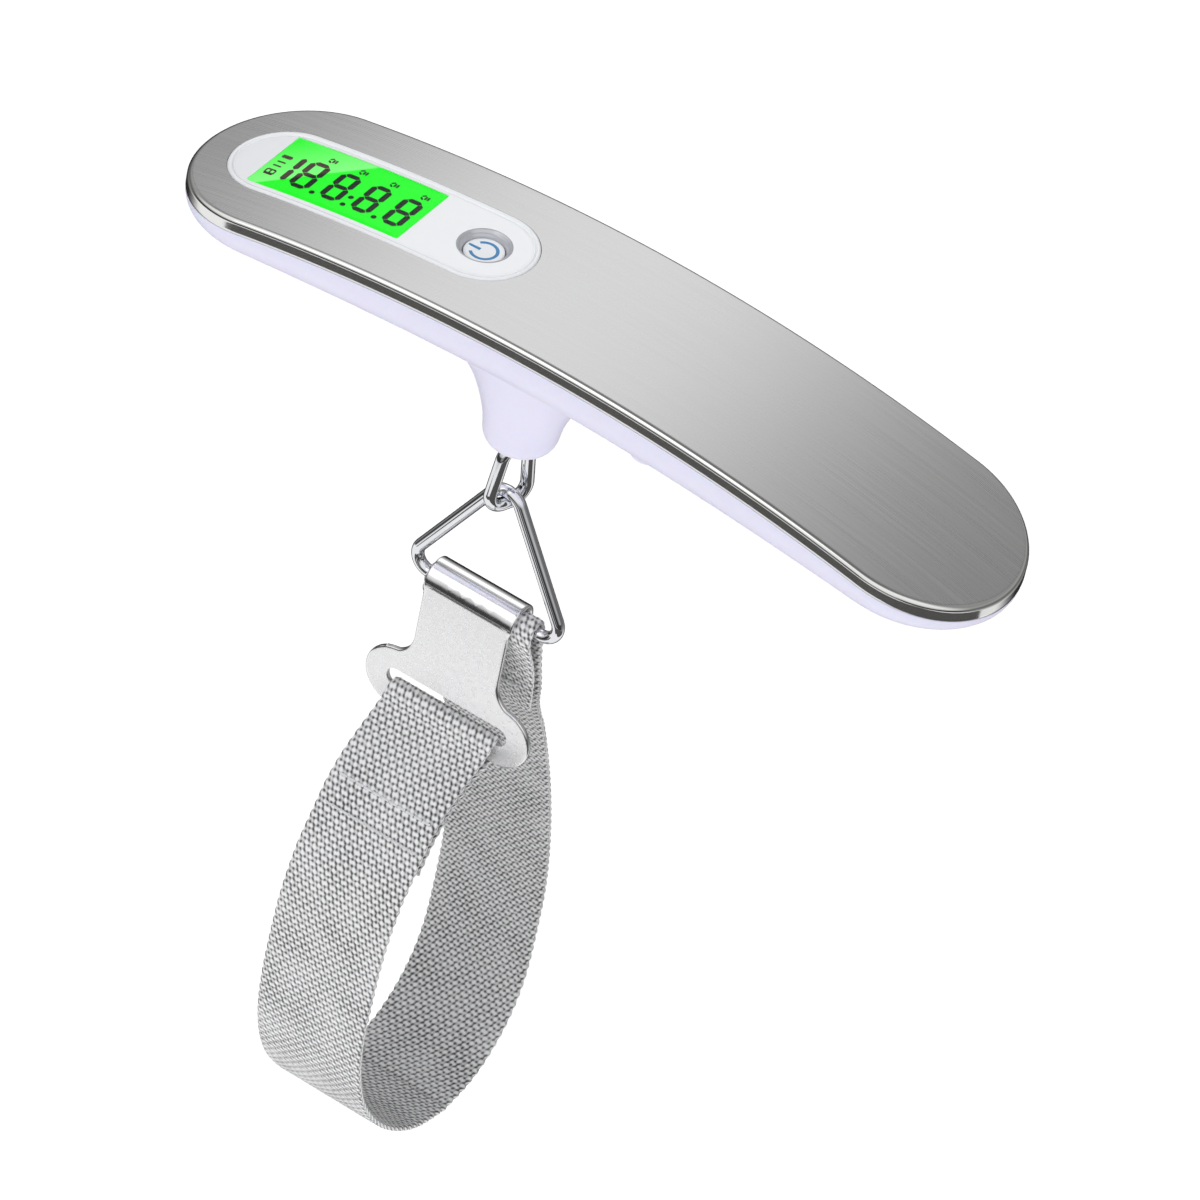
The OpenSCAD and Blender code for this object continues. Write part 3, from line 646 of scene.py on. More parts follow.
def segment(a, b, half=STROKE, point=None):
    """Bar from a to b that is 2 x half wide, with pointed ends."""
    point = half if point is None else point
    (ax, ay), (bx, by) = a, b
    length = hypot(bx - ax, by - ay)
    dx, dy = (bx - ax) / length, (by - ay) / length
    nx, ny = -dy * half, dx * half
    return printed([(ax, ay), (ax + dx * point + nx, ay + dy * point + ny),
                    (bx - dx * point + nx, by - dy * point + ny), (bx, by),
                    (bx - dx * point - nx, by - dy * point - ny),
                    (ax + dx * point - nx, ay + dy * point - ny)])


DIGIT_HALF, DIGIT_FOOT, DIGIT_MIDDLE, DIGIT_HEAD = 1.32, 2.95, 6.35, 9.75
GAP = 0.07              # between the ends of two segments
marks = []
for u in (7.35, 12.95, 18.55, 24.2):
    l, r = u - DIGIT_HALF, u + DIGIT_HALF
    for v in (DIGIT_FOOT, DIGIT_MIDDLE, DIGIT_HEAD):
        marks.append(segment((l + GAP, v), (r - GAP, v)))
    for x in (l, r):
        marks.append(segment((x, DIGIT_FOOT + GAP), (x, DIGIT_MIDDLE - GAP)))
        marks.append(segment((x, DIGIT_MIDDLE + GAP), (x, DIGIT_HEAD - GAP)))
# The leading one, and the points
marks.append(segment((4.35, DIGIT_FOOT), (4.35, DIGIT_MIDDLE - GAP)))
marks.append(segment((4.35, DIGIT_MIDDLE + GAP), (4.35, DIGIT_HEAD + 0.1)))
POINT_RADIUS = 0.45
eighths = [(cos(t * pi / 8), sin(t * pi / 8)) for t in range(16)]
for u, v in ((10.15, 2.75), (15.75, 2.75), (21.4, 2.75), (15.75, 5.0)):
    marks.append(printed([(u + POINT_RADIUS * c, v + POINT_RADIUS * s) for c, s in eighths]))
# Unit ticks over the digits
for u in (8.15, 13.7, 19.3, 24.9):
    marks.append(segment((u - 0.75, 11.72), (u - 0.15, 12.26), 0.16))
    marks.append(segment((u - 0.75, 11.48), (u - 0.15, 10.94), 0.16))
    for right in (0.05, 0.5):
        marks.append(segment((u + right, 11.1), (u + right, 12.1), 0.17))
# Symbols down the left side, with the battery at the foot
marks.append(segment((0.75, 8.7), (2.6, 8.7), 0.42, 0.15))
for v in (7.1, 5.9, 4.6):
    marks.append(segment((1.7 - 0.75, v), (1.7 + 0.75, v), 0.17, 0.1))
marks.append(segment((0.9, 3.45), (2.5, 3.45), 0.3, 0.1))
for u in (0.95, 1.7, 2.45):
    marks.append(segment((u, 3.5), (u, 4.6), 0.13, 0.05))
digits = raw("display_digits", *joined(*marks), angle=20)


def digit_look():
    """Dark segments, which look washed out where the painted reflection makes the screen pale."""
    look = Look("display_ink", Roughness=0.4, Specular_IOR_Level=0.05)
    # Painted reflection: the segments turn paler past the same slanting line as the screen.
    edge = look.range(past_painted_glare(look), 0.0, 0.05, 0, 1)
    pale = look.math("MULTIPLY", edge, look.vary(look.noise(900.0), 0.8, 1))
    look.set("Base Color", look.ramp(pale, [(0.0, linear(6, 16, 8)), (1.0, linear(92, 66, 66))]))
    return look.material


dress(digits, "case", "display_green", material=digit_look())

# ---------------- power button
button_frame = on_arch(BUTTON_X)
dish_profile = [(4.36, -0.3), (4.33, 0.04), (4.22, 0.1), (4.1, 0.06), (3.95, -0.12), (3.85, -0.34),
                (3.78, -0.4), (3.62, -0.46), (3.48, -0.72), (3.36, -0.95), (3.34, -1.25), (3.9, -1.4),
                (4.34, -1.2)]
dish = raw("button_dish", *lathe(dish_profile, 96, button_frame))
dish_pearl = moulded("dish_pearl", (206, 207, 213), 0.16, 0.35, 600.0, 0.03, 0.02)
dress(dish, "case", "gloss_insert", material=dish_pearl)
key_profile = [(0, -1.02), (1.0, -1.01), (2.1, -0.97), (2.75, -0.92), (3.02, -0.92), (3.17, -1.0),
               (3.24, -1.16), (3.25, -2.1), (3.3, -2.16), (4.0, -2.2), (4.08, -2.3), (4.08, -3.1),
               (4.0, -3.18), (0, -3.18)]
key = raw("power_key", *lathe(key_profile, 96, button_frame))
dress(key, "button", "button_clear", ["power_button"])


def key_mark():
    """Ring with a gap towards the display, and a tick through the gap."""
    radius, height = 2.1, -0.955
    ring_mark = [(radius * cos(a), radius * sin(a), height)
                 for a in np.radians(np.linspace(-140, 140, 48))]
    tick = [(x, 0, height) for x in np.linspace(-2.75, -0.7, 8)]
    return moved(joined(*(tube(line, 0.27, (0, 0, 1), 10, False, 0.05) for line in (ring_mark, tick))),
                 button_frame)


icon = raw("power_mark", *key_mark(), angle=50)
dress(icon, "button", "button_clear", material=moulded("mark_blue", (66, 140, 196), 0.35, vary=0.12))

# ---------------- lower casing
PLAN_POWER, DEPTH_POWER = 3.4, 2.3
CELL_BOTTOM = -10.7     # the load cell's underside


def depth_at(x, inset):
    return (CASING_DEPTH - inset) * (1 - END_TAPER * (abs(x) / (BODY_LENGTH / 2)) ** 3)


def bowl(inset, lift, ends=40, sides=72):
    """The casing's rounded outside, or its hollow when inset, with a lid raised above the rim."""
    line = [(END_X, cos(a), sin(a)) for a in np.linspace(-pi / 2, pi / 2, ends + 1)]
    line += [(END_X - 2 * END_X * i / sides, 0, 1) for i in range(1, sides)]
    line += [(-END_X, cos(a), sin(a)) for a in np.linspace(pi / 2, 1.5 * pi, ends + 1)]
    line += [(-END_X + 2 * END_X * i / sides, 0, -1) for i in range(1, sides)]
    n = len(line)

    def point(o, angle, up=0.0):
        r = sin(angle) ** (2 / PLAN_POWER) * (END_RADIUS - inset)
        x = o[0] + r * o[1]
        level = float(arch(x, RIM)) - depth_at(x, inset) * max(cos(angle), 0) ** (2 / DEPTH_POWER)
        return (x, r * o[2], level + up)

    angles = [radians(a) for a in (90, 86, 82, 78, 73, 68, 62, 56, 50, 44, 38, 32, 26, 20, 15, 10, 6, 3)]
    points = [point(o, pi / 2, lift) for o in line] + [point(o, a) for a in angles for o in line]
    levels = len(points) // n
    faces = grid_faces(levels, n)
    mirror = [(ends - i + n) % n for i in range(n)]
    first = ends // 2
    for i in range(first, first + n // 2):
        a, b = i % n, (i + 1) % n
        strip = [a, b, mirror[b], mirror[a]]
        strip = [v for k, v in enumerate(strip) if v != strip[k - 1]]
        faces.append(strip[::-1])
        faces.append([v + (levels - 1) * n for v in strip])
    return points, faces


def belly(x, y):
    """Height of the casing's outside under a point."""
    r = hypot(x - clamp(x, -END_X, END_X), y) / END_RADIUS
    return float(arch(x, RIM)) - depth_at(x, 0) * (1 - r ** PLAN_POWER) ** (1 / DEPTH_POWER)


def neck():
    """The neck's round foot, and its flare up into the casing."""
    foot = [(0, NECK_BOTTOM)]
    foot += [(NECK_RADIUS - NECK_ROUND * (1 - sin(a)), NECK_BOTTOM + NECK_ROUND * (1 - cos(a)))
             for a in np.linspace(0, pi / 2, 12)]
    foot += [(6.3, FLARE[0][0] + 0.4), (0, FLARE[0][0] + 0.4)]
    levels = smooth_line(FLARE, 6)
    count = 96
    points = [(a * cos(2 * pi * k / count), b * sin(2 * pi * k / count), z)
              for z, a, b in levels for k in range(count)]
    rows = len(levels)
    faces = grid_faces(rows, count)
    faces += [list(reversed(range(count))), [(rows - 1) * count + k for k in range(count)]]
    return moved(joined(lathe(foot, 96), (points, faces)), IN_NECK)


def remove(*objects):
    for o in objects:
        mesh = o.data
        bpy.data.objects.remove(o)
        bpy.data.meshes.remove(mesh)


def applied(obj, name):
    """A new object with obj's modifiers applied; obj goes."""
    graph = bpy.context.evaluated_depsgraph_get()
    made = bpy.data.objects.new(name, bpy.data.meshes.new_from_object(obj.evaluated_get(graph)))
    scene.collection.objects.link(made)
    remove(obj)
    return made


def cut(obj, tool, operation="DIFFERENCE"):
    modifier = obj.modifiers.new("cut", "BOOLEAN")
    modifier.operation = operation
    modifier.object = tool
    modifier.solver = "EXACT"


# The bowl and the neck melt into one skin, which is then eased where they meet
outside = raw("outside", *joined(bowl(0, 4.0), neck()))
remesh = outside.modifiers.new("remesh", "REMESH")
remesh.mode = "VOXEL"
remesh.voxel_size = 0.55 * MM
ease = outside.modifiers.new("ease", "SMOOTH")
ease.iterations = 10
ease.factor = 0.5
outside = applied(outside, "outside")

# What is cut away: all above the rim, the hollow, the holes and the battery opening
slab_outline = [(x, float(arch(x, RIM + 0.03))) for x in np.linspace(-90, 90, 121)] + [(90, 30), (-90, 30)]
slab = raw("slab", [(x, y, z) for y in (-30, 30) for x, z in slab_outline], prism_faces(len(slab_outline)))
hollow = raw("hollow", *bowl(CASING_WALL, 2.0, 24, 40))
screws_at = [(-67, 0), (16, 10.8), (16, -10.8), (67.5, 0)]
CELL_SCREWS_X = (22, 29)
SCREW_HEAD, SCREW_HOLE, CELL_SCREW_HOLE, BOSS = 2.16, 1.25, 1.27, 2.9     # radii
DOOR, DOOR_OPENING = 11.0, 11.15                                          # radii


def rod(x, y, low, high, radius):
    return lathe([(0, low), (radius, low), (radius, high), (0, high)], 48, Matrix.Translation((x, y, 0)))


def block(low, high):
    points = [(x, y, z) for z in (low[2], high[2]) for y in (low[1], high[1]) for x in (low[0], high[0])]
    return points, [[0, 2, 3, 1], [4, 5, 7, 6], [0, 1, 5, 4], [1, 3, 7, 5], [3, 2, 6, 7], [2, 0, 4, 6]]


def door_tool(name, radius):
    return raw(name, *lathe([(0, -20), (radius, -20), (radius, -3.9), (0, -3.9)], 128, cell_frame))


supports = [rod(x, y, belly(x, y) + 0.7, float(arch(x)) - 4.75, BOSS) for x, y in screws_at]
supports.append(block((18, -6, belly(22, 0) + 0.7), (33, 6, CELL_BOTTOM - 0.05)))
bosses = raw("bosses", *joined(*supports))
recess_shapes = [rod(x, 0, CELL_BOTTOM - 2.1, CELL_BOTTOM + 1, CELL_SCREW_HOLE) for x in CELL_SCREWS_X]
for x, y in screws_at:
    b = belly(x, y)
    recess = [(0, b - 3), (SCREW_HEAD, b - 3), (SCREW_HEAD, b + 2.2), (SCREW_HOLE, b + 2.25),
              (SCREW_HOLE, b + 12), (0, b + 12)]
    recess_shapes.append(lathe(recess, 48, Matrix.Translation((x, y, 0))))
bore = lathe([(0, NECK_BOTTOM - 2), (4.5, NECK_BOTTOM - 2), (4.5, NECK_BOTTOM + 0.02),
              (4, NECK_BOTTOM + 0.5), (4, -27.2), (3.2, -27.2), (3.2, -24.2), (4.4, -24.2), (4.4, -5),
              (0, -5)], 72, IN_NECK)
tools = raw("tools", *joined(bore, *recess_shapes))
cell_frame = on_arch(CELL_X)
door_cut = door_tool("door_cut", DOOR_OPENING)
door_keep = door_tool("door_keep", DOOR)

door_blank = outside.copy()
door_blank.data = outside.data.copy()
scene.collection.objects.link(door_blank)

for tool in (slab, hollow):
    cut(outside, tool)
cut(outside, bosses, "UNION")
cut(outside, tools)
cut(outside, door_cut)
casing = applied(outside, "casing_shell")
finish_mesh(casing, 40)
dress(casing, "case", "casing_plastic", ["lower_casing"])

rest_profile = [(0, -9.15), (5, -9.15), (5, -7.35), (4.9, -7.25), (0, -7.25)]     # a stud under the coin cell
cell_rest = raw("cell_rest", *lathe(rest_profile, 96, cell_frame))
cut(door_blank, hollow)
cut(door_blank, door_keep, "INTERSECT")
cut(door_blank, cell_rest, "UNION")
door = applied(door_blank, "door_shell")
finish_mesh(door, 40)
dress(door, "door", "casing_plastic", ["battery_door"])
remove(slab, hollow, bosses, tools, door_cut, door_keep, cell_rest)

# ---------------- swivel eye and ring
EYE_WIRE, EYE_TURN, EYE_BOTTOM, EYE_RADIUS, EYE_TOP, EYE_TOP_RADIUS = 1.1, 70, -45.3, 2.9, -36.0, 2.6
EYE_SPREAD = 0.6        # half the straight piece at the eye's foot
RING_WIRE, BAR_HALF, RING_TOP, RING_TOP_BEND, RING_CORNER = 1.05, 10.5, -43.05, 3.0, 2.8
SHANK = 2.0


def leaving(a, b):
    """Angle on circle a where the outer tangent to circle b leaves it."""
    (ax, az), ra = a
    (bx, bz), rb = b
    length = hypot(bx - ax, bz - az)
    dx, dz = (bx - ax) / length, (bz - az) / length
    k = (ra - rb) / length
    m = sqrt(1 - k * k)
    return atan2(k * dz - m * dx, k * dx + m * dz)


def bend(before, this, after, steps):
    """The wire's arc round one circle, between the straights from and to its neighbours."""
    arrive = leaving(before, this)
    sweep = (leaving(this, after) - arrive) % (2 * pi)
    (cx, cz), r = this
    return [(cx + r * cos(arrive + sweep * s / steps), 0, cz + r * sin(arrive + sweep * s / steps))
            for s in range(steps + 1)]


def round_three(left, right, top, steps=30):
    """Closed line round three circles."""
    return bend(left, right, top, steps) + bend(right, top, left, steps) + bend(top, left, right, steps)


def lower_pair(half, height, radius):
    """The two lower circles of a loop."""
    return ((-half, height), radius), ((half, height), radius)


eye_line = round_three(*lower_pair(EYE_SPREAD, EYE_BOTTOM + EYE_RADIUS, EYE_RADIUS),
                       ((0, EYE_TOP), EYE_TOP_RADIUS))
eye_loop = tube(eye_line, EYE_WIRE, (0, 1, 0), 32)
shank_low, shank_high = EYE_TOP + EYE_TOP_RADIUS - 0.45, -3.1
shank = lathe([(0, shank_low - 0.75), (0.9, shank_low - 0.7), (1.5, shank_low - 0.4),
               (1.85, shank_low + 0.1), (SHANK, shank_low + 0.9), (SHANK, shank_high - 0.4),
               (SHANK - 0.35, shank_high), (0, shank_high)], 48)
turned = moved(eye_loop, Matrix.Rotation(radians(EYE_TURN), 4, "Z"))
eye = raw("swivel_eye", *moved(joined(turned, shank), IN_NECK))
dress(eye, "hook", "chromed_wire", ["hook_eye"])

ring_line = round_three(*lower_pair(BAR_HALF, BAR_Z + RING_CORNER, RING_CORNER),
                        ((0, RING_TOP - RING_TOP_BEND), RING_TOP_BEND))
ring_loop = tube(ring_line, RING_WIRE, (0, 1, 0), 32)
ring = raw("wire_ring", *moved(ring_loop, IN_NECK))
dress(ring, "ring", "chromed_wire", ["triangle_ring"])

# ---------------- hook plate
CURL_INSIDE, CURL_OUTSIDE = 2.45, 3.35
TAB_HALF, TAB_MIDDLE, TAB_HEIGHT = 15.6, -87.25, 11.5
WAIST_HALF, CURL_HALF, FILLET = 8.0, 8.3, 4.6
SLOT_HALF, SLOT_HEIGHT = 11.5, 3.5
TAB_RADIUS = TAB_HEIGHT / 2
FILLET_Z = TAB_MIDDLE + TAB_RADIUS - 0.6 + FILLET
CURL_MIDDLE = (CURL_INSIDE + CURL_OUTSIDE) / 2
CURL_RUN = pi * CURL_MIDDLE      # length of the half turn over the bar
LIP = 1.0               # straight piece behind the bar
NECK_IN = 1.2           # height over which the curl narrows to the waist


def plate_half(v):
    """Half width at height v; above the bar, v runs on over the curl."""
    best = WAIST_HALF
    if v > BAR_Z - NECK_IN:
        best = CURL_HALF - (CURL_HALF - WAIST_HALF) * clamp((BAR_Z - v) / NECK_IN, 0.0, 1.0)
    if abs(v - TAB_MIDDLE) <= TAB_RADIUS + 1e-9:
        best = max(best if v > TAB_MIDDLE else 0, TAB_HALF - TAB_RADIUS
                   + sqrt(max(TAB_RADIUS ** 2 - (v - TAB_MIDDLE) ** 2, 0)))
    if FILLET_Z - FILLET <= v <= FILLET_Z:
        best = max(best, WAIST_HALF + FILLET - sqrt(max(FILLET ** 2 - (FILLET_Z - v) ** 2, 0)))
    return best


def place_plate(v, u, depth):
    """v up the plate, u across it, depth behind its front face."""
    x = PLATE_X + u
    if v <= BAR_Z:
        return (x, -CURL_OUTSIDE + depth, v)
    r = CURL_OUTSIDE - depth
    along = v - BAR_Z
    if along <= CURL_RUN:
        a = pi * along / CURL_RUN
        return (x, -r * cos(a), BAR_Z + r * sin(a))
    return (x, r, BAR_Z - (along - CURL_RUN))


SLOT_RADIUS = SLOT_HEIGHT / 2


def slot_half(v):
    return SLOT_HALF - SLOT_RADIUS + sqrt(max(SLOT_RADIUS ** 2 - (v - TAB_MIDDLE) ** 2, 0))


turns = [sin(radians(a)) for a in range(0, 91, 6)]
plate_levels = level_set(
    [TAB_MIDDLE - TAB_RADIUS * t for t in turns],
    [TAB_MIDDLE + TAB_RADIUS * t for t in turns if TAB_RADIUS * t < 5.1],
    [TAB_MIDDLE + s * SLOT_RADIUS * t for t in turns for s in (-1, 1)],
    [FILLET_Z - FILLET * t for t in turns],
    spread(FILLET_Z, BAR_Z - NECK_IN, 2.0), spread(BAR_Z - NECK_IN, BAR_Z, 0.3),
    spread(BAR_Z, BAR_Z + CURL_RUN, 0.3), spread(BAR_Z + CURL_RUN, BAR_Z + CURL_RUN + LIP, 0.25))
slot_hole = (TAB_MIDDLE - SLOT_RADIUS, TAB_MIDDLE + SLOT_RADIUS, slot_half)
plate_rings = [(0.6, 0), (0.3, 0), (0.2, 0.02), (0.1, 0.08), (0.03, 0.18), (0, 0.3), (0, 0.6), (0.03, 0.74),
               (0.12, 0.85), (0.25, 0.9), (0.5, 0.9)]
plate = raw("hook_sheet", *panel(plate_levels, plate_half, [slot_hole], plate_rings, place_plate,
                                 dense_from=BAR_Z - NECK_IN))
dress(plate, "plate", "plated_sheet", ["hook_plate"])
second_material(plate, moulded("satin_face", (251, 251, 252), 0.28, 0.6, vary=0.008, bump=0.002),
                lambda face: abs(face.normal.y) > 0.999 and face.center.y < 0)

# ---------------- webbing
# Middle lines as (y, z), and the middle across as (x, z)
STRAP_LINE = [(5.4, -87), (3.5, -82.5), (1.6, -76), (-0.5, -71.2), (-1.7, -68.4), (-1.75, -66.4),
              (-1.24, -65.16), (0, -64.65), (1.24, -65.16), (1.75, -66.4), (2.1, -69.2), (3.2, -74.5),
              (5.3, -81), (8.1, -87.5), (11.4, -93), (15.2, -99.5), (20.9, -114), (25.2, -128),
              (28, -142), (28.4, -153), (27, -164), (22.6, -172.5), (15.6, -177.8), (7, -179.3),
              (-2, -176.6), (-11.5, -169.8), (-19.3, -160.2), (-23.6, -149.5), (-25.1, -138),
              (-24.3, -122.4), (-22.1, -113), (-20.6, -109.6)]
END_LINE = [(-20.3, -109), (-18.2, -105.2), (-15.9, -101.2), (-11.5, -96.6), (-7.4, -93.4), (-5, -90.9),
            (-4.3, -89), (-3.1, -88.05), (-1.85, -88.9), (-1.6, -91), (-2.3, -93.7), (-5.4, -94.5),
            (-10.5, -97.75), (-14.8, -102.3), (-17, -106.1), (-18, -108)]
STRAP_MIDDLE = [(-11.1, -60), (-11.1, -76), (-11.4, -82), (-12.4, -88), (-13.5, -96), (-13.8, -106),
                (-13.8, -150), (-13.1, -170), (-12.8, -184)]
LOOP_BOTTOM = 23        # index in STRAP_LINE where the back run meets the front run
HALF_THICK = 0.44
CREST = 0.09            # how far a yarn stands out at a crossing
SELVEDGE = 0.7          # width over which the edge rounds off
WAVER = 0.12            # how far the edge swings from yarn to yarn


def ribbon(line, levels):
    """Woven band along a (y, z) line: a grid at half a crossing, with yarn crests and round selvedges."""
    dense = np.array(smooth_line(line, 24))
    run = np.concatenate([[0], np.cumsum(np.linalg.norm(np.diff(dense, axis=0), axis=1))])
    rows = 4 * int(round(run[-1] / (ALONG * 2)))
    s = np.linspace(0, run[-1], rows + 1)
    turns_at = np.arange(rows + 1) / 2          # crossings passed
    y, z = np.interp(s, run, dense[:, 0]), np.interp(s, run, dense[:, 1])
    dy, dz = np.gradient(y), np.gradient(z)
    length = np.hypot(dy, dz)
    ny, nz = dz / length, -dy / length
    columns = int(round(STRAP_WIDTH / (ACROSS / 2)))
    t = np.linspace(-1, 1, columns + 1) * (STRAP_WIDTH / 2 - WAVER)
    wx, wz = np.array([m[0] for m in levels]), np.array([m[1] for m in levels])
    centre = np.interp(-z, -wz, wx)
    taper = np.clip((np.abs(t) - (STRAP_WIDTH / 2 - SELVEDGE)) / SELVEDGE, 0, 1)
    thick = HALF_THICK * np.sqrt(1 - 0.8 * taper ** 2)
    weave = np.cos(pi * turns_at)[:, None] * np.cos(pi * np.arange(columns + 1) / 2)[None, :]
    swing = WAVER * np.cos(pi * turns_at)
    points, maps = [], []
    for sign in (1, -1):
        off = sign * (thick[None, :] + CREST * sign * weave)
        for i in range(rows + 1):
            for j in range(columns + 1):
                x = centre[i] + t[j] + (swing[i] * np.sign(t[j]) if j in (0, columns) else 0)
                points.append((x, y[i] + off[i, j] * ny[i], z[i] + off[i, j] * nz[i]))
                maps.append(((turns_at[i] + (0 if sign > 0 else 1)) * ALONG * MM, j * ACROSS / 2 * MM))
    width, sheet = columns + 1, (rows + 1) * (columns + 1)
    faces = []
    for i in range(rows):
        for j in range(columns):
            a = i * width + j
            faces.append([a, a + 1, a + 1 + width, a + width])
            faces.append([sheet + a, sheet + a + width, sheet + a + 1 + width, sheet + a + 1])
        for j in (0, columns):
            a = i * width + j
            quad = [a, a + width, sheet + a + width, sheet + a]
            faces.append(quad if j == 0 else quad[::-1])
    for i in (0, rows):
        for j in range(columns):
            a = i * width + j
            quad = [a, sheet + a, sheet + a + 1, a + 1]
            faces.append(quad if i == 0 else quad[::-1])
    return points, faces, maps, float(run[-1])


def webbing(name, line, levels):
    """One run of the strap, with painted shade on the face that looks into the loop, and its flat length."""
    points, faces, maps, length = ribbon(line, levels)
    obj = raw(name, points, faces, clean=False)
    layer = obj.data.uv_layers.new(name="cloth")
    index = np.zeros(len(obj.data.loops), dtype=np.int32)
    obj.data.loops.foreach_get("vertex_index", index)
    layer.data.foreach_set("uv", np.array(maps, dtype=np.float32)[index].ravel())
    obj.data.shade_smooth()
    obj.data.materials.append(LOOKS["grey_webbing"])
    # Painted shade: the face that looks into the loop gets the darker copy
    second_material(obj, LOOKS["shaded_webbing"], lambda face: max(face.vertices) < len(points) // 2)
    return obj, length


strap_levels = smooth_line(STRAP_MIDDLE, 6)
back, back_length = webbing("webbing_back", STRAP_LINE[:LOOP_BOTTOM + 1], strap_levels)
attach(back, "webbing")
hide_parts("strap")
front_line = STRAP_LINE[LOOP_BOTTOM:] + END_LINE
front, front_length = webbing("webbing_front", front_line, strap_levels)
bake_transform(front)
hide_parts("strap", "strap_end")


STITCH, STITCH_HALF, THREAD = 1.6, 0.62, 0.2      # spacing, half the length that shows, radius


def thread_row(path, index, middle):
    """Stitches across the webbing's front, each a short thread that dips in at both ends."""
    d = path[index + 1] - path[index - 1]
    d = d / np.linalg.norm(d)
    normal = np.array([-d[1], d[0]]) * (1 if d[1] > 0 else -1)
    shapes = []
    for x in np.arange(-8, 8.01, STITCH):
        thread = []
        for k in np.linspace(-1, 1, 9):
            lift = 0.55 + 0.17 * cos(k * pi / 2) - 0.12 * (abs(k) > 0.9)
            thread.append((middle + x + STITCH_HALF * k, *(path[index] + normal * lift)))
        shapes.append(tube(thread, THREAD, (0, 0, 1), 10, False))
    return joined(*shapes)


def stitching(name, line, rows, middle, body, node):
    path = smooth_line(line, 4)
    obj = raw(name, *joined(*(thread_row(path, i, middle) for i in rows)), angle=60)
    dress(obj, body, "white_thread", [node])


stitching("bar_tack", STRAP_LINE, (5, 7), -12.6, "webbing", "strap_stitching")
stitching("end_seam", END_LINE, (5, 9), -13.6, "plate", "end_stitching")

# ---------------- floor, lights and camera
FLOOR_Z, FLOOR_HALF, DOME_RADIUS, CARD_Z = -320, 6000, 4500, -250


def glowing_white(name, strength, rough, cloud, low, high):
    look = Look(name, Roughness=rough, Emission_Strength=strength, Specular_IOR_Level=0.0)
    look.set("Base Color", look.tint(look.noise(cloud), (low,) * 3, (high,) * 3))
    look.set("Emission Color", (1, 1, 1, 1))
    return look.material


floor_corners = [(x * FLOOR_HALF, y * FLOOR_HALF, FLOOR_Z) for x, y in ((-1, -1), (1, -1), (1, 1), (-1, 1))]
floor = raw("floor", floor_corners, [(0, 1, 2, 3)], clean=False)
floor.data.materials.append(glowing_white("floor_white", 0.42, 0.9, 3.0, 0.86, 0.88))
floor.visible_glossy = False

# A pale backdrop that only the camera sees
dome_arc = [(DOME_RADIUS * sin(a), DOME_RADIUS * cos(a))
            for a in np.linspace(pi / 24, pi * 0.56, 13)]
dome = raw("backdrop", *lathe([(0, DOME_RADIUS), *dome_arc], 48), clean=False)
dome.data.materials.append(glowing_white("backdrop_white", 1.0, 1.0, 2.0, 0.0, 0.01))
dome.visible_glossy = dome.visible_diffuse = dome.visible_shadow = dome.visible_transmission = False

# A dark card for the polished rim to reflect
card_outline = [(-260, -370), (420, -370), (420, 100), (200, 100), (70, -215), (-260, -215)]
card = raw("dark_card", [(x, y, CARD_Z) for x, y in card_outline], [range(len(card_outline))], clean=False)
card.data.materials.append(moulded("card_black", (84, 83, 82), 0.9))
card.visible_camera = card.visible_diffuse = card.visible_shadow = False

# The studio round the object, by the direction that a reflection looks in
world = bpy.data.worlds.new("studio")
scene.world = world
world.use_nodes = True
studio = Nodes(world.node_tree)
looking = studio.node("ShaderNodeTexCoord").outputs["Generated"]
direction = studio.node("ShaderNodeSeparateXYZ", Vector=looking)


def brightness(factor, stops):
    return studio.ramp(factor, [(at, (value,) * 3) for at, value in stops])


def towards(x, y, z):
    """How nearly a direction points along (x, y, z)."""
    return studio.weighted(*zip(direction.outputs, Vector((x, y, z)).normalized()))


def zero_to_one(axis):
    return studio.math("ADD", studio.math("MULTIPLY", direction.outputs[axis], 0.5), 0.5)


def by_elevation(stops):
    """Brightness at elevations in degrees."""
    return brightness(level, [(0.5 + 0.5 * sin(radians(e)), v) for e, v in stops])


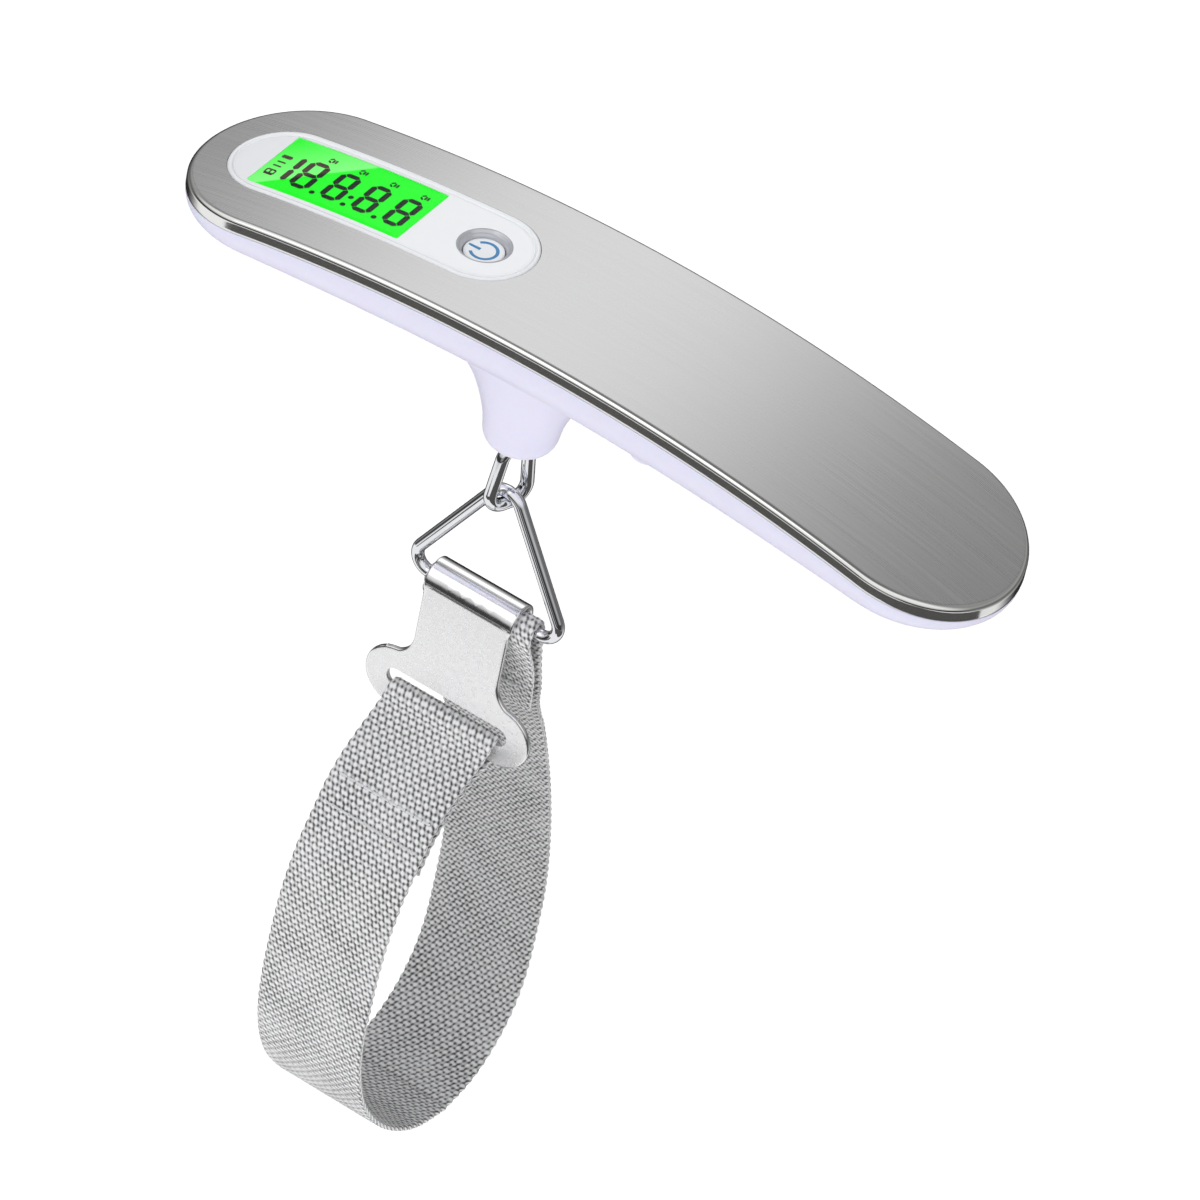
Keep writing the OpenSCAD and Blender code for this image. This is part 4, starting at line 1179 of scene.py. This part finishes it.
level = zero_to_one(2)
behind = by_elevation([(-90, 0.95), (-45, 0.95), (-22, 0.3), (0, 0.12), (18, 0.36), (32, 0.28), (50, 0.3),
                       (62, 0.24), (90, 0.16)])
before = by_elevation([(-90, 0.95), (-26, 0.95), (-21, 0.04), (-1, 0.04), (5, 0.5), (20, 0.85), (45, 0.95),
                       (60, 0.9), (68, 0.22), (90, 0.16)])
side = brightness(zero_to_one(1), [(0.42, 0.0), (0.58, 1.0)])
glow = brightness(towards(-0.372, 0.68, 0.623),
                  [(0.0, 0.0), (0.85, 0.0), (0.93, 0.09), (0.965, 0.31), (0.99, 1.05)])
shade = brightness(towards(-0.323, 0.679, -0.659), [(0.62, 1.0), (0.76, 0.3), (0.87, 0.03)])
back_part = studio.math("MULTIPLY", studio.math("ADD", behind, glow), side)
front_part = studio.math("MULTIPLY", before, studio.math("SUBTRACT", 1.0, side))
total = studio.math("MULTIPLY", studio.math("ADD", back_part, front_part), shade)
background = studio.tree.nodes["Background"]
studio.give(background.inputs["Color"], total)
background.inputs["Strength"].default_value = 1.0


CENTRE = Vector((-0.01, 0, -0.06))      # m, what the lights point at


def area_light(name, at, size, power, glossy=True):
    """Square lamp; places and sizes are in metres."""
    data = bpy.data.lights.new(name, "AREA")
    data.size = size
    data.energy = power
    light = bpy.data.objects.new(name, data)
    light.location = at
    light.rotation_euler = (CENTRE - Vector(at)).to_track_quat("-Z", "Y").to_euler()
    light.visible_glossy = glossy
    scene.collection.objects.link(light)


area_light("key_light", (-0.5, -0.9, 0.9), 0.9, 1.2)
area_light("front_light", (0.3, -1.2, 0.0), 0.8, 0.4)
area_light("top_light", (0.1, 0.1, 1.3), 0.9, 5.0, glossy=False)
area_light("right_light", (1.3, -0.5, -0.15), 0.9, 2.0, glossy=False)

# A distant camera with a long lens, so that the view is nearly parallel
camera_data = bpy.data.cameras.new("camera")
camera_data.sensor_width = 36
camera_data.lens = 247.675908
camera_data.clip_end = 20
camera = bpy.data.objects.new("camera", camera_data)
scene.collection.objects.link(camera)
across_view = Vector((0.82064929, 0.54809267, 0.16164518))
down_view = Vector((0.47110704, -0.48883843, -0.73423099))
into_view = Vector((-0.32340825, 0.67869833, -0.65937522))
turn = Matrix((across_view, -down_view, -into_view)).transposed().to_4x4()
camera.matrix_world = Matrix.Translation((0.41842243, -0.86085623, 0.78292952)) @ turn
scene.camera = camera
scene.view_settings.view_transform = "Standard"
